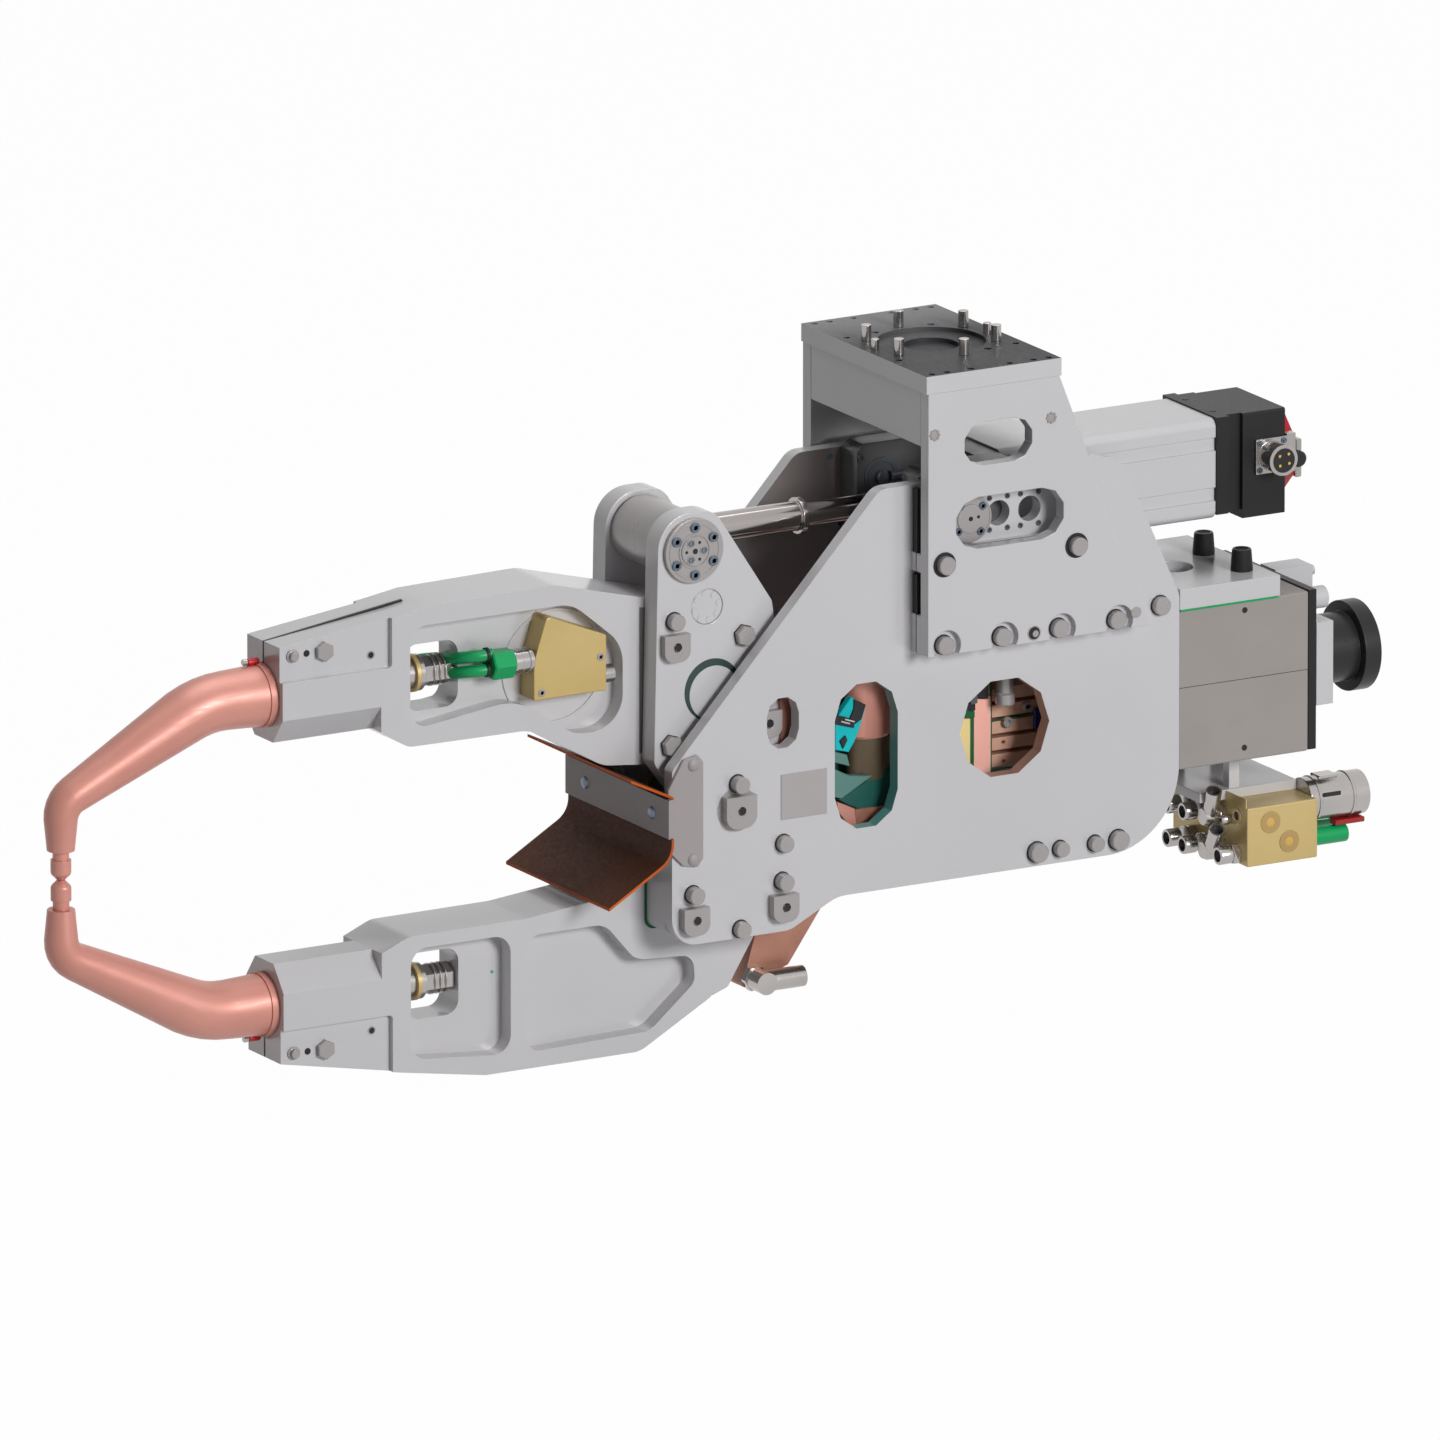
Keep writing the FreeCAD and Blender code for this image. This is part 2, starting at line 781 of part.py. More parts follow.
def make_studs():
    studs = []
    for angle in STUD_ANGLES:
        x, y = on_circle(angle)
        free = rod(f"stud_{angle}_free", b.stud_radius, b.stud_height, x, y, 0)
        root = rod(f"stud_{angle}_root", b.stud_root_radius, b.stud_seat, x, y, -b.stud_seat)
        studs.append(fuse(f"stud_{angle}", [free, root]))
    keep("flange_studs", group("studs", studs))
    dowels = []
    for angle in DOWEL_ANGLES:
        x, y = on_circle(angle)
        length = b.dowel_height + b.dowel_seat
        dowels.append(rod(f"dowel_{angle}", b.dowel_radius, length, x, y, -b.dowel_seat))
    keep("flange_dowels", group("dowels", dowels))


# Console that carries the gun under the robot plate

def make_console_side(side, word):
    body = new_body(f"console_{word}")
    height = plate_height(side, console_inner, console_outer)
    outline = Drawing(body, "side_outline", "XZ_Plane", height)
    outline.outline((
        (-b.console_half, under_plate), (b.console_half, under_plate),
        (b.console_foot_x, b.console_bottom), (-b.console_half, b.console_bottom),
    ))
    outline.slot(b.window_one_x, b.window_one_z, b.window_one_length, b.window_one_height)
    outline.slot(b.window_two_x, b.window_two_z, b.window_two_length, b.window_two_height)
    pad(body, "side_plate", outline, b.console_thick)
    inner_face = plate_height(side, console_inner - pad_thick, console_inner)
    pads = Drawing(body, "pad_outline", "XZ_Plane", inner_face)
    pads.outline((
        (-b.console_half, b.upper_pad_bottom), (b.upper_pad_end, b.upper_pad_bottom),
        (b.upper_pad_end, b.upper_pad_top), (-b.console_half, b.upper_pad_top),
    ))
    pads.outline((
        (-b.console_half, b.console_bottom), (b.console_foot_x, b.console_bottom),
        (b.console_foot_x - b.beam_thick, b.lower_pad_top), (-b.console_half, b.lower_pad_top),
    ))
    pad(body, "raised_pads", pads, pad_thick)
    holes = Drawing(body, "bolt_holes", "XZ_Plane")
    for x, z in console_bolts:
        holes.circle(x, z, b.bolt_radius + b.hole_clearance)
    for x in row_bolts[:4]:
        holes.circle(x, b.row_bolt_z, b.bolt_radius + b.hole_clearance)
    pocket(body, "bolt_bores", holes)
    seats = Drawing(body, "notch_outline", "XZ_Plane", console_outer if side == NEAR else -console_outer)
    for x in row_bolts[:4]:
        seats.circle(x, b.row_bolt_z, b.notch_radius)
    pocket(body, "bolt_notches", seats, b.notch_depth, reverse=side == FAR)
    keep(f"console_side_{word}", body)


def make_console_beams():
    front = block(
        "front_beam", -b.console_half, -console_inner, under_plate - b.beam_height,
        b.beam_thick - b.console_half, console_inner, under_plate,
    )
    keep("console_front_beam", front)
    rear = block(
        "rear_beam", b.console_half - b.beam_thick, -console_inner,
        under_plate - b.rear_beam_height, b.console_half, console_inner, under_plate,
    )
    keep("console_rear_beam", rear)


def make_insulation_strips():
    strips = []
    for side, word in SIDES:
        inner = b.main_half + pad_thick
        outer = inner + b.strip_thick
        body = new_body(f"strips_{word}")
        drawing = Drawing(body, "strip_outline", "XZ_Plane", plate_height(side, inner, outer))
        drawing.outline((
            (-b.console_half, b.upper_pad_bottom), (b.upper_pad_end, b.upper_pad_bottom),
            (b.upper_pad_end, b.upper_pad_top), (-b.console_half, b.upper_pad_top),
        ))
        drawing.outline((
            (-b.console_half, b.console_bottom), (b.console_foot_x, b.console_bottom),
            (b.console_foot_x - b.beam_thick, b.lower_pad_top),
            (-b.console_half, b.lower_pad_top),
        ))
        for x, z in console_bolts:
            drawing.circle(x, z, b.bolt_radius + b.hole_clearance)
        for x in row_bolts[:4]:
            drawing.circle(x, b.row_bolt_z, b.bolt_radius + b.hole_clearance)
        pad(body, "strip", drawing, b.strip_thick)
        strips.append(body)
    keep("insulation_strips", group("strips", strips))


# Side plates of the gun

def make_main_plate(side, word):
    body = new_body(f"main_{word}")
    outline = Drawing(body, "outline", "XZ_Plane", plate_height(side, main_inner, b.main_half))
    outline.outline((
        (b.main_front, b.main_shoulder_z, 12.0),
        (b.main_front, b.main_toe, b.main_toe_round),
        (b.main_heel_front, b.main_toe, b.main_toe_round),
        (b.main_heel_x, b.main_bottom, 40.0),
        (b.main_rear, b.main_bottom, b.main_rear_round),
        (b.main_rear, b.main_rear_z, 25.0),
        (b.main_top_end + b.body_gap, b.main_top, 36.0),
        (b.main_top_x, b.main_top, 20.0),
    ))
    outline.slot(b.slot_window_x, b.slot_window_z, b.slot_window_width, b.slot_window_height)
    outline.ten_sided(b.round_window_x, b.round_window_z, b.round_window_radius)
    outline.slot(b.access_hole_x, b.access_hole_z, b.access_hole_width, b.access_hole_height)
    for i in range(3):
        centre = b.trunnion_x + b.trunnion_pitch * i
        outline.circle(centre, b.cylinder_z, b.trunnion_radius + b.fit_clearance)
    pad(body, "plate", outline, b.main_thick)
    outer_face = plate_height(side, b.main_half, b.main_half + pad_thick)
    pads = Drawing(body, "pad_outline", "XZ_Plane", outer_face)
    pads.outline((
        (-b.console_half, b.upper_pad_bottom), (b.upper_pad_end, b.upper_pad_bottom),
        (b.upper_pad_end, b.upper_pad_top), (-b.console_half, b.upper_pad_top),
    ))
    pads.outline((
        (-b.console_half, b.console_bottom), (b.console_foot_x, b.console_bottom),
        (b.console_foot_x - b.beam_thick, b.lower_pad_top), (-b.console_half, b.lower_pad_top),
    ))
    pad(body, "raised_pads", pads, pad_thick)
    holes = Drawing(body, "hole_outline", "XZ_Plane")
    for x, z in console_bolts:
        holes.circle(x, z, b.bolt_radius + b.hole_clearance)
    for x in row_bolts:
        holes.circle(x, b.row_bolt_z, b.bolt_radius + b.hole_clearance)
    for x in bottom_bolts:
        holes.circle(x, b.bottom_bolt_z, b.bolt_radius + b.hole_clearance)
    for x, z in root_bolts:
        holes.circle(x, z, b.bolt_radius + b.hole_clearance)
    for x, z in lower_pins:
        holes.circle(x, z, b.pin_radius + b.fit_clearance)
    holes.circle(b.pivot_x, b.pivot_z, b.axle_radius + b.fit_clearance)
    pocket(body, "bores", holes)
    taps = Drawing(body, "tapped_holes", "XZ_Plane")
    for i in (1, 2):
        for dx in (b.trunnion_screw_x, -b.trunnion_screw_x):
            for dz in (b.trunnion_screw_z, -b.trunnion_screw_z):
                x = b.trunnion_x + b.trunnion_pitch * i + dx
                taps.circle(x, b.cylinder_z + dz, b.trunnion_screw_radius)
    pocket(body, "taps", taps)
    keep(f"main_plate_{word}", body)


def make_cross_block():
    inner = main_inner
    base = block(
        "cross_bar", b.cross_block_start, -inner, b.bottom_bolt_z - b.cross_block_height / 2,
        b.cross_block_end, inner, b.bottom_bolt_z + b.cross_block_height / 2,
    )
    keep("plate_cross_block", base)


# Pins with two flats on their heads, each held by a lock bolt above it

def pin_head(name, side, x, z, face, radius, thick):
    """A head with two upright flats, rounded below, with a tapped hole."""
    body = new_body(name)
    height = plate_height(side, face, face + thick)
    drawing = Drawing(body, "head_outline", "XZ_Plane", height)
    flat = radius * 0.92
    drawing.outline((
        (x - flat, z + radius * 0.8), (x - flat, z - radius * 0.95, radius * 0.7),
        (x + flat, z - radius * 0.95, radius * 0.7), (x + flat, z + radius * 0.8),
    ))
    pad(body, "head", drawing, thick)
    tap = Drawing(body, "tap_outline", "XZ_Plane", (face + thick) if side == NEAR else -(face + thick))
    tap.circle(x, z, b.head_hole_radius)
    pocket(body, "tap", tap, b.head_hole_depth, reverse=side == FAR)
    return body


def headed_pin(name, x, z, radius, face, head_radius, thick):
    """A pin through the gun with a head on each side."""
    shank = rod(f"{name}_shank", radius, face * 2, x, -face, z, "+Y")
    heads = [pin_head(f"{name}_{word}", side, x, z, face, head_radius, thick) for side, word in SIDES]
    return fuse(name, [shank] + heads)


def make_pins():
    axle = headed_pin(
        "axle", b.pivot_x, b.pivot_z, b.axle_radius, b.main_half, b.head_radius * 1.18,
        b.head_thick,
    )
    keep("pivot_axle", axle)
    lower = [
        headed_pin(f"lower_pin_{i}", x, z, b.pin_radius, b.main_half, b.head_radius, b.head_thick)
        for i, (x, z) in enumerate(lower_pins)
    ]
    keep("lower_arm_pins", group("lower_pins", lower))
    upper = [
        headed_pin(f"ear_pin_{i}", x, z, b.pin_radius, ear_outer, b.head_radius, b.ear_head_thick)
        for i, (x, z) in enumerate(upper_pins)
    ]
    keep("ear_pins", group("upper_pins", upper))


# Bolts

def bolt(name, side, x, z, face, shank_length, head_radius, head_height, six_sided=False):
    """A bolt whose head sits on a face that looks outwards."""
    head = hexagon if six_sided else rod
    way = outward(side)
    back = outward(-side)
    seat = side * face
    cap = head(f"{name}_head", head_radius, head_height, x, seat, z, way)
    shank = rod(f"{name}_shank", b.bolt_radius, shank_length, x, seat, z, back)
    return fuse(name, [cap, shank])


def make_frame_bolts():
    bolts = []
    through = b.console_thick + b.console_gap + b.main_thick
    for side, word in SIDES:
        for i, (x, z) in enumerate(console_bolts):
            bolts.append(bolt(
                f"console_bolt_{word}_{i}", side, x, z, console_outer, through,
                b.bolt_head_radius, b.bolt_head_height,
            ))
        for i, x in enumerate(row_bolts[:4]):
            bolts.append(bolt(
                f"row_bolt_{word}_{i}", side, x, b.row_bolt_z, console_outer - b.notch_depth,
                through - b.notch_depth, b.bolt_head_radius, b.bolt_head_height,
            ))
        bolts.append(bolt(
            f"row_end_{word}", side, row_bolts[4], b.row_bolt_z, b.main_half, b.main_thick,
            b.bolt_head_radius, b.bolt_head_height,
        ))
        spots = [(x, b.bottom_bolt_z) for x in bottom_bolts] + list(root_bolts)
        for i, (x, z) in enumerate(spots):
            bolts.append(bolt(
                f"plate_bolt_{word}_{i}", side, x, z, b.main_half, b.main_thick,
                b.bolt_head_radius, b.bolt_head_height,
            ))
        locked = [(b.pivot_x, b.pivot_z + 1.0)] + list(lower_pins)
        for i, (x, z) in enumerate(locked):
            bolts.append(rod(
                f"lock_bolt_{word}_{i}", b.lock_head_radius, b.lock_head_height,
                x, side * b.main_half, z + b.lock_bolt_rise + b.lock_head_radius * 0.6,
                outward(side),
            ))
    keep("frame_bolts", group("bolts_of_frame", bolts))


def make_lever_bolts():
    bolts = []
    for side, word in SIDES:
        for i, (x, z) in enumerate(ear_bolts):
            bolts.append(bolt(
                f"ear_bolt_{word}_{i}", side, x, z, ear_outer, ear_thick - b.strip_thick,
                b.hex_radius, b.hex_height, six_sided=True,
            ))
        for i, (x, z) in enumerate(upper_pins):
            bolts.append(rod(
                f"ear_lock_{word}_{i}", b.lock_head_radius, b.ear_head_thick,
                x, side * ear_outer, z + b.lock_bolt_rise + b.lock_head_radius * 0.6,
                outward(side),
            ))
    keep("lever_bolts", group("bolts_of_lever", bolts))


# Arms of the tongs

def rise(height):
    """A height on the upper arm, measured from where the two electrodes meet."""
    return b.contact_z + height


def drop(height):
    """The same height on the lower arm."""
    return b.contact_z - height


def clamp_corners(way):
    """The clamp end of an arm, from its inner side round its end face to its outer side."""
    return (
        (b.clamp_end, way(b.clamp_inner)),
        (b.arm_end, way(b.clamp_inner)),
        (b.arm_end, way(b.arm_outer_end)),
    )


def cut_clamp(body, way, word):
    """The round seat of the electrode, its slot, the screw recesses and the chamfers."""
    seat = Drawing(body, f"{word}_seat_outline", "YZ_Plane", b.arm_end)
    seat.circle(0, way(b.electrode_rise), b.electrode_seat_radius)
    pocket(body, f"{word}_seat", seat, b.electrode_seat_depth, reverse=True)
    slit = Drawing(body, f"{word}_slit_outline", "YZ_Plane", b.arm_end)
    half = b.clamp_slot_width / 2
    slit.outline((
        (-half, way(b.electrode_rise)), (half, way(b.electrode_rise)),
        (half, way(b.arm_outer_end + 60.0)), (-half, way(b.arm_outer_end + 60.0)),
    ))
    pocket(body, f"{word}_slit", slit, b.clamp_slot_end - b.arm_end, reverse=True)
    for side, side_word in SIDES:
        face = b.arm_half if side == NEAR else -b.arm_half
        recess = Drawing(body, f"{word}_recess_{side_word}", "XZ_Plane", face)
        recess.outline((
            (b.arm_end - 5.0, way(b.arm_outer_end - b.clamp_recess_height)),
            (b.clamp_recess_end, way(b.arm_outer_end - b.clamp_recess_height), 4.0),
            (b.clamp_recess_end, way(b.arm_outer_end + 60.0)),
            (b.arm_end - 5.0, way(b.arm_outer_end + 60.0)),
        ))
        pocket(body, f"{word}_recess_cut_{side_word}", recess, b.clamp_recess_depth, reverse=side == FAR)
        chamfer = Drawing(body, f"{word}_chamfer_{side_word}", "YZ_Plane", b.arm_end)
        edge = side * b.arm_half
        inner_edge = side * (b.arm_half - b.clamp_chamfer_width)
        beyond = side * (b.arm_half + 10.0)
        chamfer.outline((
            (inner_edge, way(b.clamp_inner)),
            (edge, way(b.clamp_inner + b.clamp_chamfer_height)),
            (beyond, way(b.clamp_inner + b.clamp_chamfer_height)),
            (beyond, way(b.clamp_inner - 10.0)),
            (inner_edge, way(b.clamp_inner - 10.0)),
        ))
        length = b.clamp_end - b.arm_end
        pocket(body, f"{word}_chamfer_cut_{side_word}", chamfer, length, reverse=True)
    screws = Drawing(body, f"{word}_screw_outline", "XZ_Plane")
    for x in (b.clamp_screw_front, b.clamp_screw_rear):
        screws.circle(x, way(b.clamp_screw_rise), b.lock_shank_radius + b.hole_clearance)
    pocket(body, f"{word}_screw_bores", screws)


def cut_pockets(body, word, outlines):
    """The flat pockets in both flanks of an arm."""
    for side, side_word in SIDES:
        face = b.arm_half if side == NEAR else -b.arm_half
        for i, corners in enumerate(outlines):
            drawing = Drawing(body, f"{word}_pocket_{side_word}_{i}", "XZ_Plane", face)
            drawing.outline(corners)
            pocket(
                body, f"{word}_pocket_cut_{side_word}_{i}", drawing, b.pocket_depth,
                reverse=side == FAR,
            )


def cut_window(body, word, way):
    window = Drawing(body, f"{word}_window_outline", "XZ_Plane")
    middle = way(b.electrode_rise)
    window.outline((
        (b.window_front, middle - b.window_half, b.window_round),
        (b.window_rear, middle - b.window_half, b.window_round),
        (b.window_rear, middle + b.window_half, b.window_round),
        (b.window_front, middle + b.window_half, b.window_round),
    ))
    pocket(body, f"{word}_window", window)


def make_upper_arm():
    body = new_body("upper_arm_body")
    outline = Drawing(body, "outline", "XZ_Plane")
    outline.outline(clamp_corners(rise) + (
        (-608.0, rise(222.0)),
        (-570.0, rise(228.0)),
        (-440.0, rise(230.5), 40.0),
        (b.guard_x + 4.0, rise(205.0)),
        (b.upper_arm_rear, rise(170.0), 12.0),
        (b.upper_arm_rear, rise(60.0), 12.0),
        (-250.0, rise(60.0), 12.0),
        (-330.0, rise(38.0), 25.0),
        (-386.0, rise(44.0), 40.0),
        (-466.0, rise(90.0), 45.0),
        (-600.0, rise(91.0), 20.0),
    ))
    pad(body, "arm", outline, b.arm_half * 2, both=True)
    spigots = Drawing(body, "spigot_outline", "XZ_Plane")
    spigots.circle(b.spigot_x, b.spigot_z, b.arm_spigot_radius)
    pad(body, "spigots", spigots, (ear_outer - b.arm_spigot_recess) * 2, both=True)
    cut_clamp(body, rise, "upper")
    cut_pockets(body, "upper", ((
        (b.pocket_front, b.upper_pocket_top, b.pocket_round),
        (-420.0, b.upper_pocket_top, 40.0),
        (b.upper_pocket_rear, -245.0, 40.0),
        (b.upper_pocket_rear, -330.0, 34.0),
        (-418.0, -327.0, 30.0),
        (-482.0, -284.5, 60.0),
        (b.pocket_front, -300.0, b.pocket_round),
    ),))
    cut_window(body, "upper", rise)
    holes = Drawing(body, "pin_holes", "XZ_Plane")
    for x, z in upper_pins:
        holes.circle(x, z, b.pin_radius + b.fit_clearance)
    pocket(body, "pin_bores", holes)
    keep("upper_arm", body)


def make_lower_arm():
    body = new_body("lower_arm_body")
    outline = Drawing(body, "outline", "XZ_Plane")
    hub = b.pivot_hub_radius + b.hub_gap
    outline.outline(clamp_corners(drop) + (
        (-612.0, drop(230.0)),
        (-516.0, b.lower_arm_bottom, 30.0),
        (-345.0, b.lower_arm_bottom, 30.0),
        (b.lower_arm_rear, drop(200.0), 14.0),
        (b.lower_arm_rear, b.lower_root_bottom, 5.0),
        (b.lower_root_rear, b.lower_root_bottom, 5.0),
        (b.lower_root_rear, b.lower_root_top, 5.0),
        (b.lower_root_front, b.lower_root_top, 5.0),
        (b.lower_root_front, drop(78.0), 12.0),
        (-405.0, drop(90.0), 30.0),
        (-470.0, drop(96.5), 40.0),
        (-600.0, drop(97.0), 20.0),
    ))
    pad(body, "arm", outline, b.arm_half * 2, both=True)
    hub_room = Drawing(body, "hub_outline", "XZ_Plane").circle(b.pivot_x, b.pivot_z, hub)
    pocket(body, "hub_room", hub_room)
    cut_clamp(body, drop, "lower")
    cut_pockets(body, "lower", (
        (
            (b.pocket_front, -517.0, b.pocket_round),
            (-488.0, -517.0, b.pocket_round),
            (-488.0, -636.0, b.pocket_round),
            (b.pocket_front, -626.0, b.pocket_round),
        ),
        (
            (-471.0, -521.0, 16.0),
            (-384.0, -521.0, 24.0),
            (-350.0, -561.0, 24.0),
            (-286.0, -565.0, 14.0),
            (-284.0, -592.0, 14.0),
            (-334.0, -634.0, 24.0),
            (-471.0, -637.0, 16.0),
        ),
    ))
    cut_window(body, "lower", drop)
    holes = Drawing(body, "pin_holes", "XZ_Plane")
    for x, z in lower_pins:
        holes.circle(x, z, b.pin_radius + b.fit_clearance)
    pocket(body, "pin_bores", holes)
    keep("lower_arm", body)


def root_outline(drawing, margin):
    """The outline of the lower arm's root, grown by a margin."""
    hub = b.pivot_hub_radius + b.hub_gap
    drawing.outline((
        (b.lower_root_front + 2.0 - margin, b.lower_root_bottom + 18.0 - margin, 10.0),
        (b.lower_root_rear, b.lower_root_bottom + 18.0 - margin, 10.0),
        (b.lower_root_rear, b.lower_root_top),
        (b.pivot_x + hub, b.lower_root_top),
        (b.pivot_x + hub, b.pivot_z - hub, hub - 1.0),
        (b.pivot_x - hub, b.pivot_z - hub, hub - 1.0),
        (b.pivot_x - hub, b.lower_root_top),
        (b.lower_root_front + 2.0 - margin, b.lower_root_top),
    ))
    for x, z in lower_pins:
        drawing.circle(x, z, b.pin_radius + b.fit_clearance)


def make_root_spacers():
    spacers = []
    sheets = []
    for side, word in SIDES:
        body = new_body(f"spacer_{word}")
        inner = b.arm_half + b.strip_thick
        drawing = Drawing(body, "outline", "XZ_Plane", plate_height(side, inner, main_inner))
        root_outline(drawing, 0.0)
        pad(body, "spacer", drawing, main_inner - inner)
        spacers.append(body)
        body = new_body(f"root_sheet_{word}")
        drawing = Drawing(body, "outline", "XZ_Plane", plate_height(side, b.arm_half, inner))
        root_outline(drawing, 2.0)
        pad(body, "sheet", drawing, b.strip_thick)
        sheets.append(body)
    keep("lower_arm_spacers", group("spacers", spacers))
    keep("lower_arm_insulation", group("root_sheets", sheets))


# Lever ears that join the upper arm to the servo cylinder and the hinge

def make_lever_ear(side, word):
    body = new_body(f"ear_{word}")
    inner = b.arm_half + b.strip_thick
    outline = Drawing(body, "outline", "XZ_Plane", plate_height(side, inner, ear_outer))
    front = b.lever_pin_x - b.ear_radius
    foot = b.pivot_z - b.pivot_hub_radius
    outline.outline((
        (front, b.lever_pin_z + b.ear_radius, b.ear_radius - 2.0),
        (b.lever_pin_x + b.ear_radius * 0.66, b.lever_pin_z + b.ear_radius, b.ear_radius * 0.7),
        (b.ear_heel_x, b.ear_heel_z, 8.0),
        (b.ear_rear, b.ear_heel_z - 60.0, 20.0),
        (b.ear_rear, b.pivot_z + b.pivot_hub_radius, 20.0),
        (b.pivot_x + b.pivot_hub_radius, b.pivot_z + 20.0, 20.0),
        (b.pivot_x + b.pivot_hub_radius, foot, b.pivot_hub_radius - 1.0),
        (b.pivot_x - b.pivot_hub_radius, foot, b.pivot_hub_radius - 1.0),
        (b.pivot_x - b.pivot_hub_radius, b.pivot_z + 12.0, 20.0),
        (b.ear_foot_x, b.ear_foot_z, 12.0),
    ))
    outline.circle(b.lever_pin_x, b.lever_pin_z, b.lever_pin_radius + b.fit_clearance)
    bush_outer = b.axle_radius + b.bush_wall
    outline.circle(b.pivot_x, b.pivot_z, bush_outer + b.fit_clearance)
    outline.circle(b.spigot_x, b.spigot_z, b.ear_bore_radius)
    for x, z in upper_pins:
        outline.circle(x, z, b.pin_radius + b.fit_clearance)
    for x, z in ear_bolts:
        outline.circle(x, z, b.bolt_radius + b.hole_clearance)
    pad(body, "ear", outline, ear_thick - b.strip_thick)
    plug = Drawing(body, "window_outline", "XZ_Plane", ear_outer if side == NEAR else -ear_outer)
    plug.circle(b.ear_window_x, b.ear_window_z, b.ear_window_radius)
    pocket(body, "window", plug, b.ear_window_depth, reverse=side == FAR)
    keep(f"lever_ear_{word}", body)


def make_ear_insulation():
    sheets = []
    for side, word in SIDES:
        body = new_body(f"ear_sheet_{word}")
        outer = b.arm_half + b.strip_thick
        drawing = Drawing(body, "outline", "XZ_Plane", plate_height(side, b.arm_half, outer))
        drawing.outline((
            (b.ear_foot_x - 2.0, b.ear_foot_z + 6.0),
            (b.ear_rear, rise(62.0)), (b.ear_rear, rise(165.0)),
            (b.ear_foot_x - 2.0, rise(196.0)),
        ))
        drawing.circle(b.spigot_x, b.spigot_z, b.arm_spigot_radius + b.hole_clearance)
        for x, z in upper_pins:
            drawing.circle(x, z, b.pin_radius + b.fit_clearance)
        pad(body, "sheet", drawing, b.strip_thick)
        sheets.append(body)
    keep("ear_insulation", group("ear_sheets", sheets))


def make_ear_fittings():
    inner = b.arm_half + b.strip_thick
    pin = rod(
        "lever_pin_shank", b.lever_pin_radius, ear_outer * 2, b.lever_pin_x, -ear_outer,
        b.lever_pin_z, "+Y",
    )
    discs = [
        rod(
            f"lever_disc_{word}", b.lever_disc_radius, b.lever_disc_thick, b.lever_pin_x,
            side * ear_outer, b.lever_pin_z, outward(side),
        )
        for side, word in SIDES
    ]
    keep("lever_pin", fuse("lever_pin_whole", [pin] + discs))
    bushes = []
    for side, word in SIDES:
        outer = rod(
            f"bush_{word}_outer", b.axle_radius + b.bush_wall, ear_thick - b.strip_thick,
            b.pivot_x, side * inner, b.pivot_z, outward(side),
        )
        bore = rod(
            f"bush_{word}_bore", b.axle_radius + b.fit_clearance, ear_thick, b.pivot_x,
            side * inner, b.pivot_z, outward(side),
        )
        bushes.append(cut(f"bush_{word}", outer, [bore]))
    keep("pivot_bushes", group("bushes", bushes))


# Bent copper electrode arms with their caps

def degrees_of(slope):
    return Size(f"(atan({slope.text}) / 1 deg)", math.degrees(math.atan(slope.value)))


def sine(angle):
    return Size(f"sin({text_of(angle)} * 1 deg)", math.sin(math.radians(value_of(angle))))


def cosine(angle):
    return Size(f"cos({text_of(angle)} * 1 deg)", math.cos(math.radians(value_of(angle))))


def tangent(angle):
    return Size(f"tan({text_of(angle)} * 1 deg)", math.tan(math.radians(value_of(angle))))


def bend_stations(x, height, bend, first_angle, last_angle, first_radius, last_radius, steps):
    """Round sections along a bend round (x, height); an angle of 0 runs towards -X."""
    stations = []
    for i in range(steps + 1):
        share = i / steps
        angle = first_angle + (last_angle - first_angle) * share
        stations.append((
            x - bend * sine(angle), height + bend * cosine(angle),
            first_radius + (last_radius - first_radius) * share, angle,
        ))
    return stations


def make_electrode(way, word):
    """A tapered bar that bends twice, from the clamp down to the tip."""
    body = new_body(f"electrode_{word}")
    slope = (b.elbow_rise - b.wrist_rise) / (b.elbow_x - b.wrist_x)
    lean = degrees_of(slope)
    upright = lean * 0 + 90
    root = b.arm_end + b.electrode_seat_depth - b.hole_clearance
    seat = b.electrode_seat_radius - b.fit_clearance
    elbow_corner = b.elbow_x + (b.electrode_rise - b.elbow_rise) / slope
    elbow_start = elbow_corner + b.elbow_bend * tangent(lean / 2)
    wrist_corner = b.wrist_rise - (b.wrist_x - b.tip_x) * slope
    wrist_end = wrist_corner - b.wrist_bend * tangent((90 - lean) / 2)
    stations = [
        (root, b.electrode_rise, seat, 0.0), (b.arm_end + 1.0, b.electrode_rise, seat, 0.0),
    ]
    stations += bend_stations(
        elbow_start, b.electrode_rise - b.elbow_bend, b.elbow_bend, lean * 0, lean,
        b.electrode_neck_radius, b.electrode_elbow_radius, 4,
    )
    stations += bend_stations(
        b.tip_x + b.wrist_bend, wrist_end, b.wrist_bend, lean, upright,
        b.electrode_wrist_radius, b.electrode_finger_radius, 5,
    )
    stations.append((b.tip_x, b.tip_end_rise, b.electrode_tip_radius, upright))
    sections = []
    for i, (x, height, radius, angle) in enumerate(stations):
        tilt = rotation((0, -1, 0), 45)
        drawing = Drawing(body, f"section_{i}", "XY_Plane", way(height), tilt, (x, 0))
        drawing.circle(0, 0, radius)
        turn = 90 + angle if way is rise else 90 - angle
        drawing.sketch.setExpression("AttachmentOffset.Rotation.Angle", f"{text_of(turn)} * 1 deg")
        sections.append(drawing.sketch)
    doc.recompute()
    bar = body.newObject("PartDesign::AdditiveLoft", "bent_bar")
    bar.Profile = sections[0]
    bar.Sections = sections[1:]
    bar.Ruled = True
    body.Tip = bar
    keep(f"{word}_electrode_arm", body)


